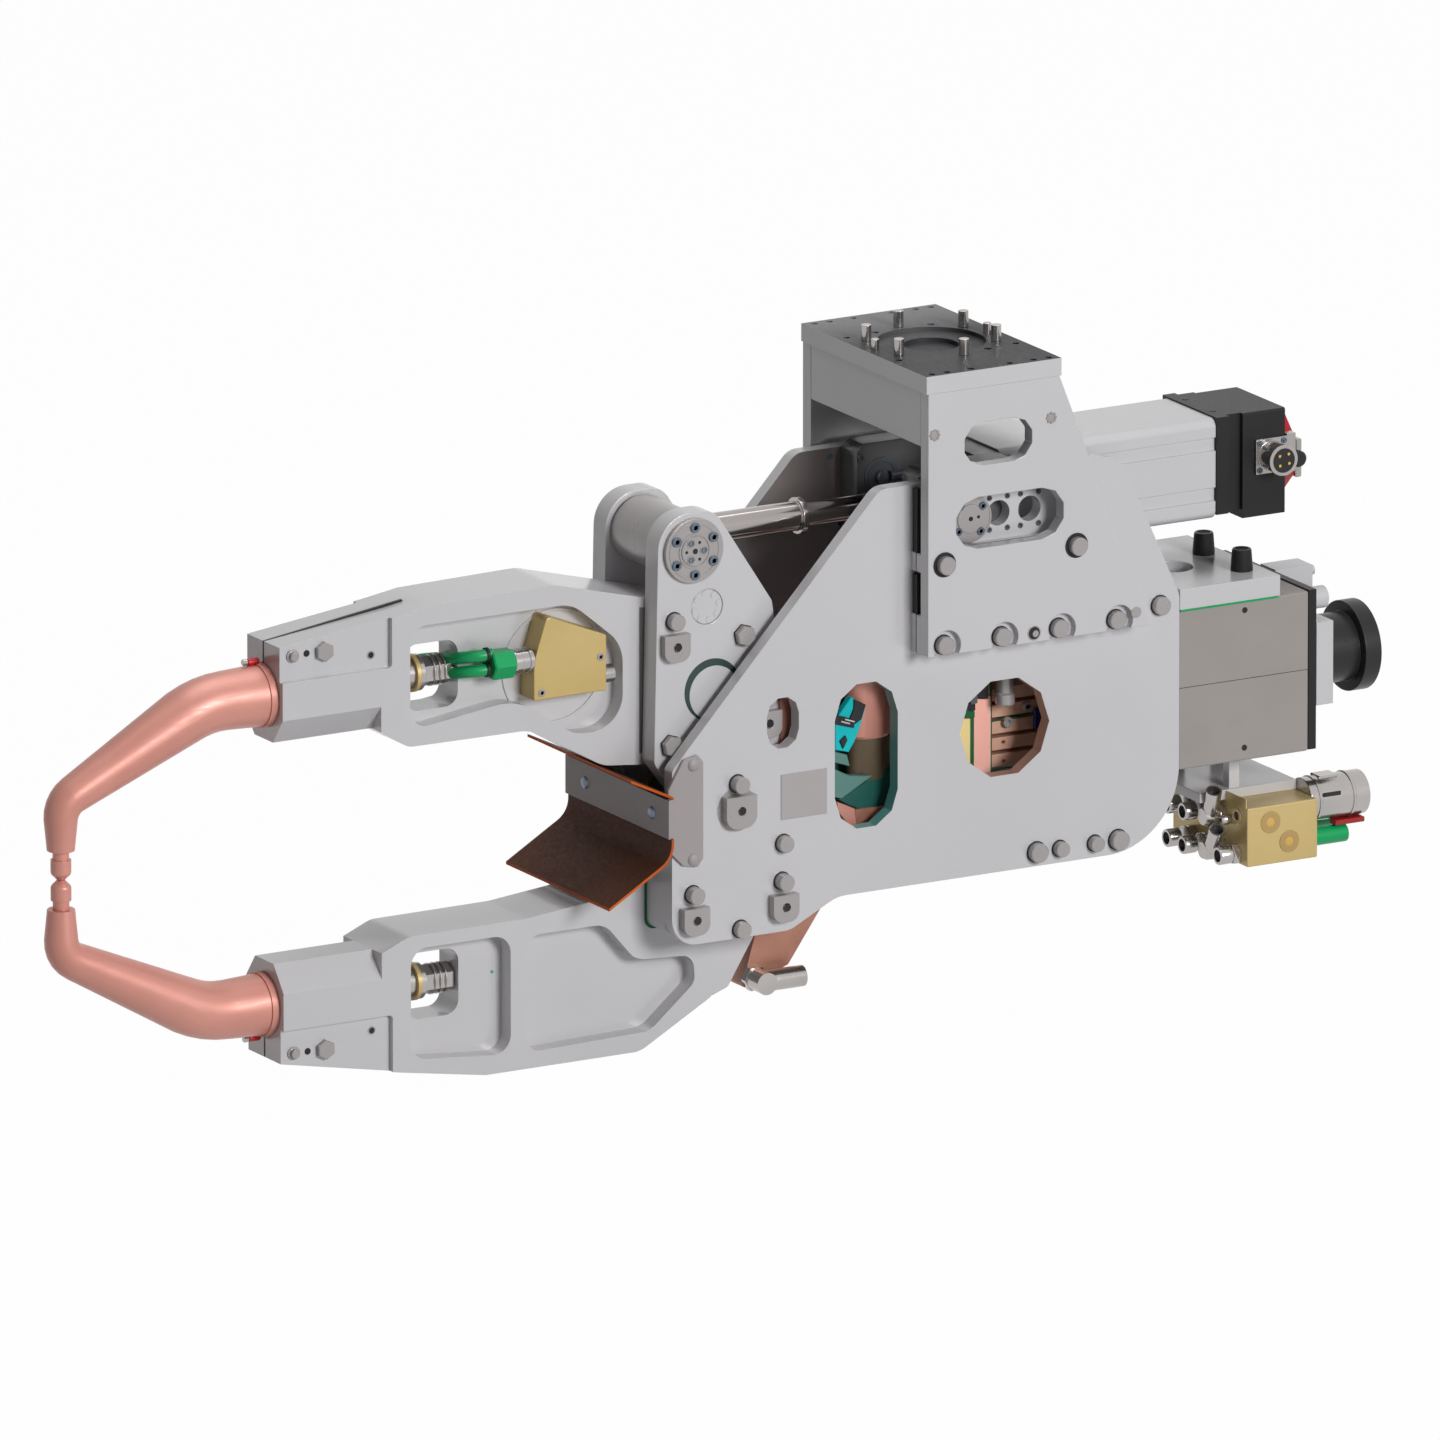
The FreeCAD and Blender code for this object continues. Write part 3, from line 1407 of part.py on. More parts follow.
def make_cap(way, word):
    """A round electrode cap on its tapered shank, with a domed face at the tip."""
    body = new_body(f"cap_{word}")
    drawing = Drawing(body, "section", "XZ_Plane")
    shoulder = b.tip_gap / 2 + b.cap_length
    root = b.tip_end_rise
    drawing.outline((
        (0, way(b.tip_gap / 2)), (b.cap_face_radius, way(b.tip_gap / 2)),
        (b.cap_radius, way(b.tip_gap / 2 + 6.0), 5.0), (b.cap_radius, way(shoulder)),
        (b.shank_radius, way(shoulder)), (b.shank_radius, way(root)), (0, way(root)),
    ))
    revolve(body, "cap", drawing, "Z_Axis")
    place(body, b.tip_x, 0, 0)
    keep(f"{word}_electrode_cap", body)


# Servo cylinder

def make_cylinder():
    axis = b.cylinder_z
    cheek_outer = main_inner - b.hole_clearance
    yoke = [block(
        "housing", b.housing_front, -b.servo_half, axis - b.servo_half, b.housing_rear,
        b.servo_half, axis + b.servo_half - 2.0,
    )]
    for side, word in SIDES:
        yoke.append(side_block(
            f"cheek_{word}", side, b.cheek_front, b.cheek_inner, axis - b.cheek_half,
            b.cheek_rear, cheek_outer, axis + b.cheek_half,
        ))
    bores = [rod(
        "trunnion_bore", b.trunnion_radius + b.fit_clearance, cheek_outer * 2 + 2.0,
        b.trunnion_x, -(cheek_outer + 1.0), axis, "+Y",
    )]
    bores.append(rod(
        "rod_room", b.rod_radius + b.rod_gap, b.housing_rear - b.housing_front + 2.0,
        b.housing_front - 1.0, 0, axis, "+X",
    ))
    keep("actuator_yoke", cut("yoke", fuse("yoke_solid", yoke), bores))

    body = new_body("servo_profile")
    section = Drawing(body, "section", "YZ_Plane", b.housing_rear)
    half = b.servo_half
    section.outline((
        (-half, axis - half, b.servo_round), (half, axis - half, b.servo_round),
        (half, axis + half, b.servo_round), (-half, axis + half, b.servo_round),
    ))
    pad(body, "profile", section, b.servo_rear - b.housing_rear)
    grooves = Drawing(body, "groove_outline", "YZ_Plane", b.housing_rear)
    for side in (NEAR, FAR):
        for i in (-1, 1):
            middle = axis + b.servo_half * 0.5 * i
            floor = side * (half - b.rib_depth)
            beyond = side * (half + 1.0)
            grooves.outline((
                (floor, middle - b.rib_width / 2), (beyond, middle - b.rib_width / 2),
                (beyond, middle + b.rib_width / 2), (floor, middle + b.rib_width / 2),
            ))
    pocket(body, "grooves", grooves, b.servo_rear - b.housing_rear, reverse=True)
    room = Drawing(body, "rod_room_outline", "YZ_Plane", b.housing_rear)
    room.circle(0, axis, b.rod_radius + b.rod_gap)
    pocket(body, "rod_room", room, b.rod_bore_end - b.housing_rear, reverse=True)
    keep("servo_body", body)

    flange = half + 1.5
    cover = [
        block(
            "cover_flange", b.servo_rear, -flange, axis - half + 4.5, b.cover_flange_end, flange,
            axis + flange,
        ),
        block(
            "cover_waist", b.cover_flange_end - 1.0, b.cover_step - half,
            axis - half + b.cover_step, b.cover_waist_end + 1.0, half - b.cover_step,
            axis + flange,
        ),
    ]
    cover_body = new_body("cover_box")
    cover_section = Drawing(cover_body, "section", "YZ_Plane", b.cover_waist_end)
    cover_section.outline((
        (-half, axis - half - 3.0), (half, axis - half - 3.0),
        (half, axis + flange, b.cover_round), (-half, axis + flange, 2.0),
    ))
    pad(cover_body, "box", cover_section, b.cover_end - b.cover_waist_end)
    cover.append(cover_body)
    keep("servo_cover", fuse("cover", cover))

    cap_body = new_body("end_cap_body")
    cap_section = Drawing(cap_body, "section", "YZ_Plane", b.cover_end)
    flat = b.cap_flat / 2
    corner = b.cap_flat * 0.2071
    cap_section.outline((
        (-flat, axis - corner), (-corner, axis - flat), (corner, axis - flat), (flat, axis - corner),
        (flat, axis + corner), (corner, axis + flat), (-corner, axis + flat), (-flat, axis + corner),
    ))
    pad(cap_body, "cap", cap_section, b.cap_thick)
    keep("servo_end_cap", cap_body)

    middle = axis + 6.5
    plate_rear = b.cover_end + 1.0
    front_plate = block(
        "signal_plate", plate_rear - b.socket_plate, -(half + 3.0), middle - b.socket_plate / 2,
        plate_rear, -half, middle + b.socket_plate / 2,
    )
    socket = rod(
        "signal_socket", b.socket_radius, b.socket_length, plate_rear - b.socket_plate / 2,
        -(half + 3.0), middle, "-Y",
    )
    corner_block = block(
        "corner_block", plate_rear, -(half + 2.0), axis - 12.5, plate_rear + 10.0, -(half - 7.5),
        axis + 25.5,
    )
    keep("servo_connectors", group("sockets", [
        fuse("signal_connector", [front_plate, socket]), corner_block,
    ]))

    pins = []
    for side, word in SIDES:
        disc = rod(
            f"trunnion_disc_{word}", b.trunnion_disc_radius, b.trunnion_disc_thick, b.trunnion_x,
            side * b.main_half, axis, outward(side),
        )
        shank = rod(
            f"trunnion_shank_{word}", b.trunnion_radius, b.main_half - b.servo_half - 2.0,
            b.trunnion_x, side * b.main_half, axis, outward(-side),
        )
        pins.append(fuse(f"trunnion_{word}", [disc, shank]))
    keep("trunnion_pins", group("trunnions", pins))


def make_piston_rod():
    axis = b.cylinder_z
    eye_end = b.lever_pin_x + b.eye_radius - 4.0
    tube = rod("rod_tube", b.tube_radius, b.ring_x - eye_end, eye_end, 0, axis, "+X")
    bar = rod("rod_bar", b.rod_radius, b.rod_end_x - b.ring_x, b.ring_x, 0, axis, "+X")
    collar = rod("rod_collar", b.ring_radius, b.ring_length, b.ring_x - b.ring_length, 0, axis, "+X")
    eye = rod("eye_drum", b.eye_radius, b.eye_half * 2, b.lever_pin_x, -b.eye_half, axis, "+Y")
    eye_bore = rod(
        "eye_bore", b.lever_pin_radius + b.eye_clearance, b.eye_half * 2 + 2.0, b.lever_pin_x,
        -(b.eye_half + 1.0), axis, "+Y",
    )
    seat = rod("rod_seat", b.tube_radius, b.ring_x - eye_end, eye_end, 0, axis, "+X")
    keep("rod_eye", cut("eye", eye, [eye_bore, seat]))
    keep("piston_rod", fuse("rod_whole", [tube, bar, collar]))


# Transformer with its plates, terminals and rear connections

def make_transformer():
    top = b.transformer_top
    bottom = top - b.transformer_height
    half = b.transformer_half
    core = block("core", b.transformer_front, -half, bottom, b.transformer_rear, half, top)
    keep("transformer", core)

    wide = block(
        "top_wide", b.transformer_front, -b.main_half, top, b.top_plate_rear, b.main_half,
        top + b.top_plate_thick,
    )
    tongue = block(
        "top_tongue", b.tongue_front, -main_inner, top, b.transformer_front + 1.0, main_inner,
        top + b.top_plate_thick,
    )
    bore = rod(
        "top_bore", b.tongue_bore_radius, b.top_plate_thick + 2.0, b.tongue_bore_x,
        b.tongue_bore_y, top - 1.0,
    )
    keep("transformer_top_plate", cut("top_plate", fuse("top_solid", [wide, tongue]), [bore]))

    rear = b.transformer_rear + b.rear_plate_thick
    keep("transformer_rear_plate", block(
        "rear_sheet", b.transformer_rear, -half, bottom + 1.0, rear, half, top + 1.0,
    ))
    box_end = rear + b.rear_box_length
    box_top = top + 2.0
    box = block(
        "terminal_box", rear, b.rear_box_near, box_top - b.rear_box_height, box_end,
        b.rear_box_far, box_top,
    )
    nub = rod("terminal_nub", 5.0, 7.0, box_end - 1.0, b.rear_box_near + 10.0, box_top - 8.0, "+X")
    plate = block(
        "rear_block", rear, -half, b.rear_block_bottom, rear + b.rear_block_thick, 10.0,
        b.rear_block_top,
    )
    gland = rod("rear_gland", 11.0, b.gland_length, rear, -72.0, top - 11.5, "+X")
    keep("rear_terminals", group("rear_set", [fuse("rear_box", [box, nub]), plate, gland]))
    neck_start = rear + b.rear_block_thick
    middle = (b.rear_block_top + b.rear_block_bottom) / 2
    neck = rod(
        "connector_neck", b.connector_neck_radius, b.connector_neck_end + 1.0 - neck_start,
        neck_start, b.connector_y, middle, "+X",
    )
    disc = rod(
        "connector_disc", b.connector_radius, b.connector_end - b.connector_neck_end,
        b.connector_neck_end, b.connector_y, middle, "+X",
    )
    keep("power_connector", fuse("connector", [neck, disc]))

    buffers = []
    for i, y in enumerate((b.buffer_far_y, b.buffer_near_y)):
        buffers.append(taper(
            f"buffer_{i}", b.buffer_radius, b.buffer_radius * 0.86, b.buffer_height, b.buffer_x,
            y, top + b.top_plate_thick,
        ))
    keep("rubber_buffers", group("buffers", buffers))


def make_terminals():
    """The upright copper column, its bars to the transformer and the block before it."""
    half = b.terminal_half
    column_end = b.column_front + b.column_thick
    pieces = [block(
        "column", b.column_front, -half, b.column_bottom, column_end, half, b.column_top,
    )]
    for i in range(5):
        high = b.bar_top - b.bar_pitch * i
        pieces.append(block(
            f"terminal_bar_{i}", column_end - 1.0, -half, high - b.bar_thick,
            b.transformer_front, half, high,
        ))
    block_end = b.terminal_block_front + b.terminal_block_thick
    front = block(
        "terminal_block", b.terminal_block_front, -half,
        b.column_top - b.terminal_block_height, block_end, half, b.column_top,
    )
    sheet_between = block(
        "terminal_sheet", block_end, -half - 2.0, b.column_bottom + 20.0, b.column_front,
        half + 2.0, b.column_top + 3.0,
    )
    keep("secondary_terminals", group("terminals", [
        fuse("terminal_column", pieces), front, sheet_between,
    ]))
    keep("arm_terminal", block(
        "arm_terminal_block", b.upper_arm_rear, -half, b.arm_terminal_bottom,
        b.upper_arm_rear + b.arm_terminal_thick, half, b.arm_terminal_top,
    ))


def make_shunt():
    """The laminated copper band that hangs between the terminal block and the upper arm."""
    body = new_body("shunt_body")
    drawing = Drawing(body, "section", "XZ_Plane")
    left = b.upper_arm_rear + b.arm_terminal_thick
    right = b.terminal_block_front
    thick = b.shunt_thick
    drawing.outline((
        (left, b.arm_terminal_top - 3.0), (left, b.shunt_bottom, 58.0),
        (right, b.shunt_bottom, 58.0), (right, b.column_top - 3.0),
        (right - thick, b.column_top - 3.0),
        (right - thick, b.shunt_bottom + thick, 46.0),
        (left + thick, b.shunt_bottom + thick, 46.0), (left + thick, b.arm_terminal_top - 3.0),
    ))
    pad(body, "band", drawing, b.shunt_half * 2, both=True)
    keep("laminated_shunt", body)


def make_lower_busbar():
    body = new_body("busbar_body")
    drawing = Drawing(body, "section", "XZ_Plane")
    column_end = b.column_front + b.column_thick
    drawing.outline((
        (b.lower_root_rear, -500.0), (b.lower_root_rear, b.lower_root_bottom + 3.0),
        (-203.0, -561.0), (-219.0, -616.0, 4.0), (-166.0, -597.0, 4.0), (-125.0, -539.0, 20.0),
        (column_end, b.column_bottom - 16.0, 6.0), (column_end, b.column_bottom),
        (b.column_front, b.column_bottom),
    ))
    pad(body, "bar", drawing, b.busbar_half * 2, both=True)
    keep("lower_busbar", body)
    face = -b.busbar_half
    x = b.elbow_fitting_x
    z = b.elbow_fitting_z
    nut = hexagon("elbow_nut", 13.0, 8.0, x, face, z, "-Y")
    ball = rod("elbow_body", 11.0, 22.0, x, face - 7.0, z, "-Y")
    outlet = rod("elbow_outlet", 10.5, 45.0, x, face - 18.0, z, "+X")
    keep("busbar_elbow", fuse("elbow", [nut, ball, outlet]))


# Water circuit

def make_manifold():
    top = b.manifold_top
    bottom = top - b.manifold_height
    solid = block(
        "manifold_block", b.manifold_front, b.manifold_near, bottom, b.manifold_rear, b.manifold_far, top,
    )
    keep("water_manifold", solid)
    plate = block(
        "hanger_plate", b.manifold_front - 30.0, -46.0, top, b.manifold_rear, b.main_half, top + b.hanger_thick,
    )
    posts = []
    bottom_of_transformer = b.transformer_top - b.transformer_height
    for i, (x, y) in enumerate(((b.manifold_front + 10.0, -38.0), (b.manifold_front + 10.0, 66.0), (b.manifold_rear - 22.0, 66.0))):
        posts.append(block(
            f"post_{i}", x - b.post_half, y - b.post_half, top + b.hanger_thick - 1.0,
            x + b.post_half, y + b.post_half, bottom_of_transformer,
        ))
    keep("manifold_hanger", fuse("hanger", [plate] + posts))
    fittings = []
    for column, y in enumerate((-66.0, -36.0, -6.0, 24.0)):
        for line, z in enumerate((top - 17.0, bottom + 15.0)):
            name = f"fitting_{column}_{line}"
            stem = rod(f"{name}_stem", 8.0, 24.0, b.manifold_front, y, z, "-X")
            nut = hexagon(f"{name}_nut", 11.0, 9.0, b.manifold_front, y, z, "-X")
            mouth = rod(f"{name}_mouth", 9.5, 16.0, b.manifold_front - 22.0, y, z, "-X")
            fittings.append(fuse(name, [stem, nut, mouth]))
    keep("manifold_fittings", group("fittings", fittings))
    keep("flow_couplings", rod(
        "coupling", b.coupling_radius, b.coupling_length, b.manifold_rear, b.coupling_y,
        b.coupling_z, "+X",
    ))
    near_sleeve = rod(
        "near_sleeve", b.sleeve_radius, b.near_sleeve_length, b.manifold_rear, b.near_sleeve_y,
        b.near_sleeve_z, "+X",
    )
    far_sleeve = rod(
        "far_sleeve", b.sleeve_radius, b.far_sleeve_length, b.manifold_rear, b.far_sleeve_y,
        b.far_sleeve_z, "+X",
    )
    keep("coupling_sleeves", group("sleeves", [near_sleeve, far_sleeve]))


def make_inlet(way, word):
    """The water connection behind an electrode, seen through its arm's window."""
    height = way(b.electrode_rise)
    ring_x = b.window_front + b.inlet_neck
    neck = rod(f"{word}_inlet_neck", b.inlet_radius, b.inlet_neck + 1.0, b.window_front, 0, height, "+X")
    ring = rod(f"{word}_inlet_ring", b.inlet_ring_radius, 9.0, ring_x, 0, height, "+X")
    body = hexagon(
        f"{word}_inlet_body", b.inlet_radius, b.window_rear - 2.0 - ring_x, ring_x, 0, height, "+X",
    )
    return fuse(f"{word}_inlet", [neck, ring, body])


def make_arm_water():
    web = b.arm_half - b.pocket_depth
    body = new_body("arm_manifold_body")
    drawing = Drawing(body, "outline", "XZ_Plane", web)
    front = b.arm_manifold_front
    rear = b.arm_manifold_rear
    low = b.arm_manifold_bottom
    drawing.outline((
        (front, low), (rear, low), (rear, low + 55.0), (front + 14.5, low + 82.0, 5.0),
        (front, low + 38.0, 8.0),
    ))
    pad(body, "manifold", drawing, b.arm_manifold_face - web)
    keep("arm_manifold", body)
    hose_y = -b.arm_hose_y
    socket_z = b.arm_hose_z + b.arm_hose_pitch / 2 - 3.5
    hex_front = front - b.arm_socket_length - b.arm_nut_length
    fittings = [
        rod("hose_socket", b.arm_socket_radius, b.arm_socket_length, front, hose_y, socket_z, "-X"),
        rod("blank_socket", 9.0, 13.0, rear, -(b.arm_hose_y - 5.0), low + 13.0, "+X"),
        make_inlet(rise, "upper"),
    ]
    keep("arm_fittings", group("arm_fitting_set", fittings))
    keep("lower_arm_connectors", make_inlet(drop, "lower"))
    nut = hexagon(
        "hose_nut", b.arm_nut_radius, b.arm_nut_length, hex_front, hose_y, socket_z, "+X",
    )
    hoses = [nut]
    for i in range(2):
        hoses.append(rod(
            f"hose_{i}", b.arm_hose_radius, b.arm_hose_length, hex_front + 1.0, hose_y,
            b.arm_hose_z + b.arm_hose_pitch * i, "-X",
        ))
    keep("arm_hose", fuse("arm_hoses", hoses))


# Spatter guard in front of the hinge

def make_guard():
    pieces = [block(
        "guard_strip", b.guard_x - b.guard_sheet, -b.guard_half, b.guard_bottom, b.guard_x,
        b.guard_half, b.guard_top,
    )]
    for side, word in SIDES:
        pieces.append(side_block(
            f"guard_return_{word}", side, b.guard_x - 0.5, b.main_half, b.guard_bottom,
            b.main_front + 2.0, b.main_half + b.guard_sheet, b.guard_top,
        ))
        body = new_body(f"guard_flange_{word}")
        height = plate_height(side, b.main_half, b.main_half + b.guard_sheet)
        drawing = Drawing(body, "outline", "XZ_Plane", height)
        drawing.outline((
            (b.main_front + 1.0, b.flange_top - 14.0), (b.flange_end, b.flange_top, 10.0),
            (b.flange_end, b.flange_bottom, 14.0), (b.main_front + 1.0, b.flange_bottom + 16.0),
        ))
        pad(body, "flange", drawing, b.guard_sheet)
        pieces.append(body)
    keep("guard_bracket", fuse("guard", pieces))
    make_flap("upper", b.guard_top, 1, b.upper_flap_reach, b.upper_flap_rise,
              b.upper_flap_corner, b.upper_flap_bend)
    make_flap("lower", b.guard_bottom, -1, b.lower_flap_reach, b.lower_flap_drop,
              b.lower_flap_corner, b.lower_flap_bend)


def make_flap(word, edge, up, reach, height, corner, bend):
    """A rubber flap clamped behind the strip, bent forwards past the strip's edge."""
    body = new_body(f"flap_{word}_body")
    drawing = Drawing(body, "section", "XZ_Plane")
    front = b.guard_x + b.flap_gap
    back = front + b.flap_thick
    inside = edge - b.flap_overlap * up
    drawing.outline((
        (front, inside), (front, edge + corner * up, bend),
        (front - reach, edge + height * up),
        (front - reach, edge + (height + b.flap_thick * 1.15) * up),
        (back, edge + (corner + b.flap_thick * 0.6) * up, bend + b.flap_thick),
        (back, inside),
    ))
    pad(body, "flap", drawing, b.guard_half * 2, both=True)
    notches = Drawing(body, "notch_outline", "YZ_Plane", back + 1.0)
    for side in (NEAR, FAR):
        notches.outline((
            (side * (b.main_half - b.flap_gap), inside - 1.0 * up),
            (side * (b.guard_half + 1.0), inside - 1.0 * up),
            (side * (b.guard_half + 1.0), edge + b.flap_gap * up),
            (side * (b.main_half - b.flap_gap), edge + b.flap_gap * up),
        ))
    pocket(body, "notches", notches, b.flap_thick + 2.0)
    keep(f"guard_flap_{word}", body)


def check_model():
    """Stop on any object that failed, and on any cut that removed nothing."""
    for thing in doc.Objects:
        if "Invalid" in thing.State or "Error" in thing.State:
            raise RuntimeError(f"{thing.Name} failed: {thing.State}")
    for body in doc.Objects:
        if body.TypeId != "PartDesign::Body":
            continue
        volume = None
        for feature in body.Group:
            if not feature.isDerivedFrom("PartDesign::Feature"):
                continue
            if feature.TypeId == "PartDesign::Pocket" and feature.Shape.Volume > volume - 1.0:
                raise RuntimeError(f"{body.Name}.{feature.Name} cuts nothing")
            volume = feature.Shape.Volume


def write_parts():
    total = 0
    for thing in PARTS:
        shape = thing.Shape
        if shape.isNull() or not shape.isValid():
            raise RuntimeError(f"{thing.Label} has no valid shape")
        shape.exportStep(f"parts/{thing.Label}.step")
        facets = len(shape.tessellate(0.2)[1])
        total += facets
        box = shape.BoundBox
        print(
            f"{thing.Label:24s} solids {len(shape.Solids):3d} facets {facets:5d} "
            f"x {box.XMin:7.1f} {box.XMax:7.1f} y {box.YMin:7.1f} {box.YMax:7.1f} "
            f"z {box.ZMin:7.1f} {box.ZMax:7.1f}"
        )
    print(f"{len(PARTS)} nodes, {total} facets")


make_mount_plate()
make_studs()
for side, word in SIDES:
    make_console_side(side, word)
make_console_beams()
make_insulation_strips()
for side, word in SIDES:
    make_main_plate(side, word)
make_cross_block()
make_pins()
make_frame_bolts()
make_lever_bolts()
make_upper_arm()
make_lower_arm()
make_root_spacers()
for side, word in SIDES:
    make_lever_ear(side, word)
make_ear_insulation()
make_ear_fittings()
make_electrode(rise, "upper")
make_electrode(drop, "lower")
make_cap(rise, "upper")
make_cap(drop, "lower")
make_cylinder()
make_piston_rod()
make_transformer()
make_terminals()
make_shunt()
make_lower_busbar()
make_manifold()
make_arm_water()
make_guard()
doc.recompute()
check_model()
write_parts()
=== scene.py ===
import json
import math

import bmesh
import bpy
from mathutils import Matrix, Vector


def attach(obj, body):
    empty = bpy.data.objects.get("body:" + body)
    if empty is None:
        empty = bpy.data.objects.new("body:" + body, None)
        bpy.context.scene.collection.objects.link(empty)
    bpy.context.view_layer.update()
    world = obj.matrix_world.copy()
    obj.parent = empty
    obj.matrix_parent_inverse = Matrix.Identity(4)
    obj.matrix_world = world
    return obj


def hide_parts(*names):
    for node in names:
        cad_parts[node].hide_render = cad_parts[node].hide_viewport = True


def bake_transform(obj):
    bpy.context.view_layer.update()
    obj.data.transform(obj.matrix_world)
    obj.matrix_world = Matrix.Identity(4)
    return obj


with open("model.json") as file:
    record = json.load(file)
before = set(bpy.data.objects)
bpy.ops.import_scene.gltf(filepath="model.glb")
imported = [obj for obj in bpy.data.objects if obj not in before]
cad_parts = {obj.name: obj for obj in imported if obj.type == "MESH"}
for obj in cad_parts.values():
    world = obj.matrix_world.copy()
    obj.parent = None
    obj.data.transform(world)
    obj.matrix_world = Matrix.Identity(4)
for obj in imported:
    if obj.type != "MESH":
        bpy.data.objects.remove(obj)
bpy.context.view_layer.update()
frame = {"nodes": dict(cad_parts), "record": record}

MM = 0.001
TO_METRES = Matrix.Diagonal((MM, MM, MM, 1))
NEAR, FAR = -1, 1
OUTWARDS = {NEAR: "-Y", FAR: "+Y"}
SIDES = tuple(OUTWARDS.items())
BMVert = bmesh.types.BMVert
BMEdge = bmesh.types.BMEdge
BMFace = bmesh.types.BMFace
record = frame["record"]
BODY_OF = {node: body for body, nodes in record["behaviour"]["bodies"].items() for node in nodes}
SLOT_OF = {part["node"]: part["material_slot"] for part in record["subparts"]}

# Places of the solids that the fine detail stands on, in millimetres
PIVOT_HEIGHT = -410.5
DRIVE_HEIGHT = -154.5
LEVER_PIN_X = -301.5
TRUNNION_X = -11.0
PLATE_FACE = 88
CONSOLE_FACE = 120
EAR_FACE = 62.5
ARM_HOSE_Y = -36.5


# Camera, at the photograph's angle: 30 degrees to the left of square, 15 degrees above

def new_object(name, data):
    made = bpy.data.objects.new(name, data)
    bpy.context.collection.objects.link(made)
    return made


def add_camera():
    lens = 1000.0
    sensor = 36.0
    framed_width = 1.3846
    look_at = Vector((-0.2346, 0.0, -0.3466))
    back = Vector((-0.483, -0.8365, 0.2588)).normalized()
    data = bpy.data.cameras.new("photo_camera")
    data.lens = lens
    data.sensor_width = sensor
    data.clip_end = 200.0
    camera = new_object("photo_camera", data)
    camera.location = look_at + back * (framed_width * lens / sensor)
    camera.rotation_euler = back.to_track_quat("Z", "Y").to_euler()
    bpy.context.scene.camera = camera


add_camera()


# Shared effects

def feed(tree, socket, source):
    """Let an output or a plain value feed a socket."""
    if isinstance(source, bpy.types.NodeSocket):
        tree.links.new(source, socket)
    else:
        socket.default_value = source


def add_node(tree, kind, inputs=None, **settings):
    """A shader node with its settings and with what feeds its inputs."""
    node = tree.nodes.new("ShaderNode" + kind)
    for setting, value in settings.items():
        setattr(node, setting, value)
    for socket, source in (inputs or {}).items():
        feed(tree, node.inputs[socket], source)
    return node


def mixed(tree, share, low, high):
    """The colour between two others, which are the sockets 6 and 7 of a mix."""
    return add_node(tree, "Mix", {0: share, 6: low, 7: high}, data_type="RGBA").outputs[2]


def new_group(name, inputs, outputs):
    group = bpy.data.node_groups.new(name, "ShaderNodeTree")
    for socket, kind, value in inputs:
        made = group.interface.new_socket(socket, in_out="INPUT", socket_type="NodeSocket" + kind)
        if value is not None:
            made.default_value = value
    for socket, kind in outputs:
        group.interface.new_socket(socket, in_out="OUTPUT", socket_type="NodeSocket" + kind)
    given = group.nodes.new("NodeGroupInput").outputs
    result = group.nodes.new("NodeGroupOutput").inputs
    return group, given, result


def make_tone_drift():
    """Slow change of colour over a surface, between two tones."""
    group, given, result = new_group("tone_drift", (
        ("Place", "Vector", None),
        ("Scale", "Float", 6.0),
        ("Light", "Color", (0.6, 0.6, 0.6, 1)),
        ("Dark", "Color", (0.5, 0.5, 0.5, 1)),
    ), (("Color", "Color"),))
    noise = add_node(group, "TexNoise", {"Vector": given["Place"], "Scale": given["Scale"], "Detail": 4.0})
    spread = add_node(group, "MapRange", {"Value": noise.outputs["Fac"], "From Min": 0.35, "From Max": 0.65})
    feed(group, result["Color"], mixed(group, spread.outputs["Result"], given["Dark"], given["Light"]))
    return group


def make_tool_marks():
    """Fine marks of a cutter or a brush, stretched along one axis."""
    group, given, result = new_group("tool_marks", (
        ("Place", "Vector", None),
        ("Stretch", "Vector", (60.0, 60.0, 900.0)),
        ("Low", "Float", 0.3),
        ("High", "Float", 0.45),
    ), (("Roughness", "Float"), ("Height", "Float")))
    scaled = add_node(group, "VectorMath", {0: given["Place"], 1: given["Stretch"]}, operation="MULTIPLY")
    marks = add_node(group, "TexNoise", {"Vector": scaled.outputs[0], "Scale": 1.0, "Detail": 5.0})
    spread = add_node(group, "MapRange", {"Value": marks.outputs["Fac"], "From Min": 0.3, "From Max": 0.7,
                                          "To Min": given["Low"], "To Max": given["High"]})
    feed(group, result["Roughness"], spread.outputs["Result"])
    feed(group, result["Height"], marks.outputs["Fac"])
    return group


def make_speckle():
    """Small grains of dust or cast skin as a mask."""
    group, given, result = new_group("speckle", (
        ("Place", "Vector", None),
        ("Scale", "Float", 700.0),
        ("Amount", "Float", 0.3),
    ), (("Mask", "Float"),))
    cells = add_node(group, "TexVoronoi", {"Vector": given["Place"], "Scale": given["Scale"]})
    spread = add_node(group, "MapRange", {"Value": cells.outputs["Distance"], "From Min": 0.05,
                                          "From Max": 0.5, "To Min": given["Amount"], "To Max": 0.0})
    feed(group, result["Mask"], spread.outputs["Result"])
    return group


TONE_DRIFT = make_tone_drift()
TOOL_MARKS = make_tool_marks()
SPECKLE = make_speckle()


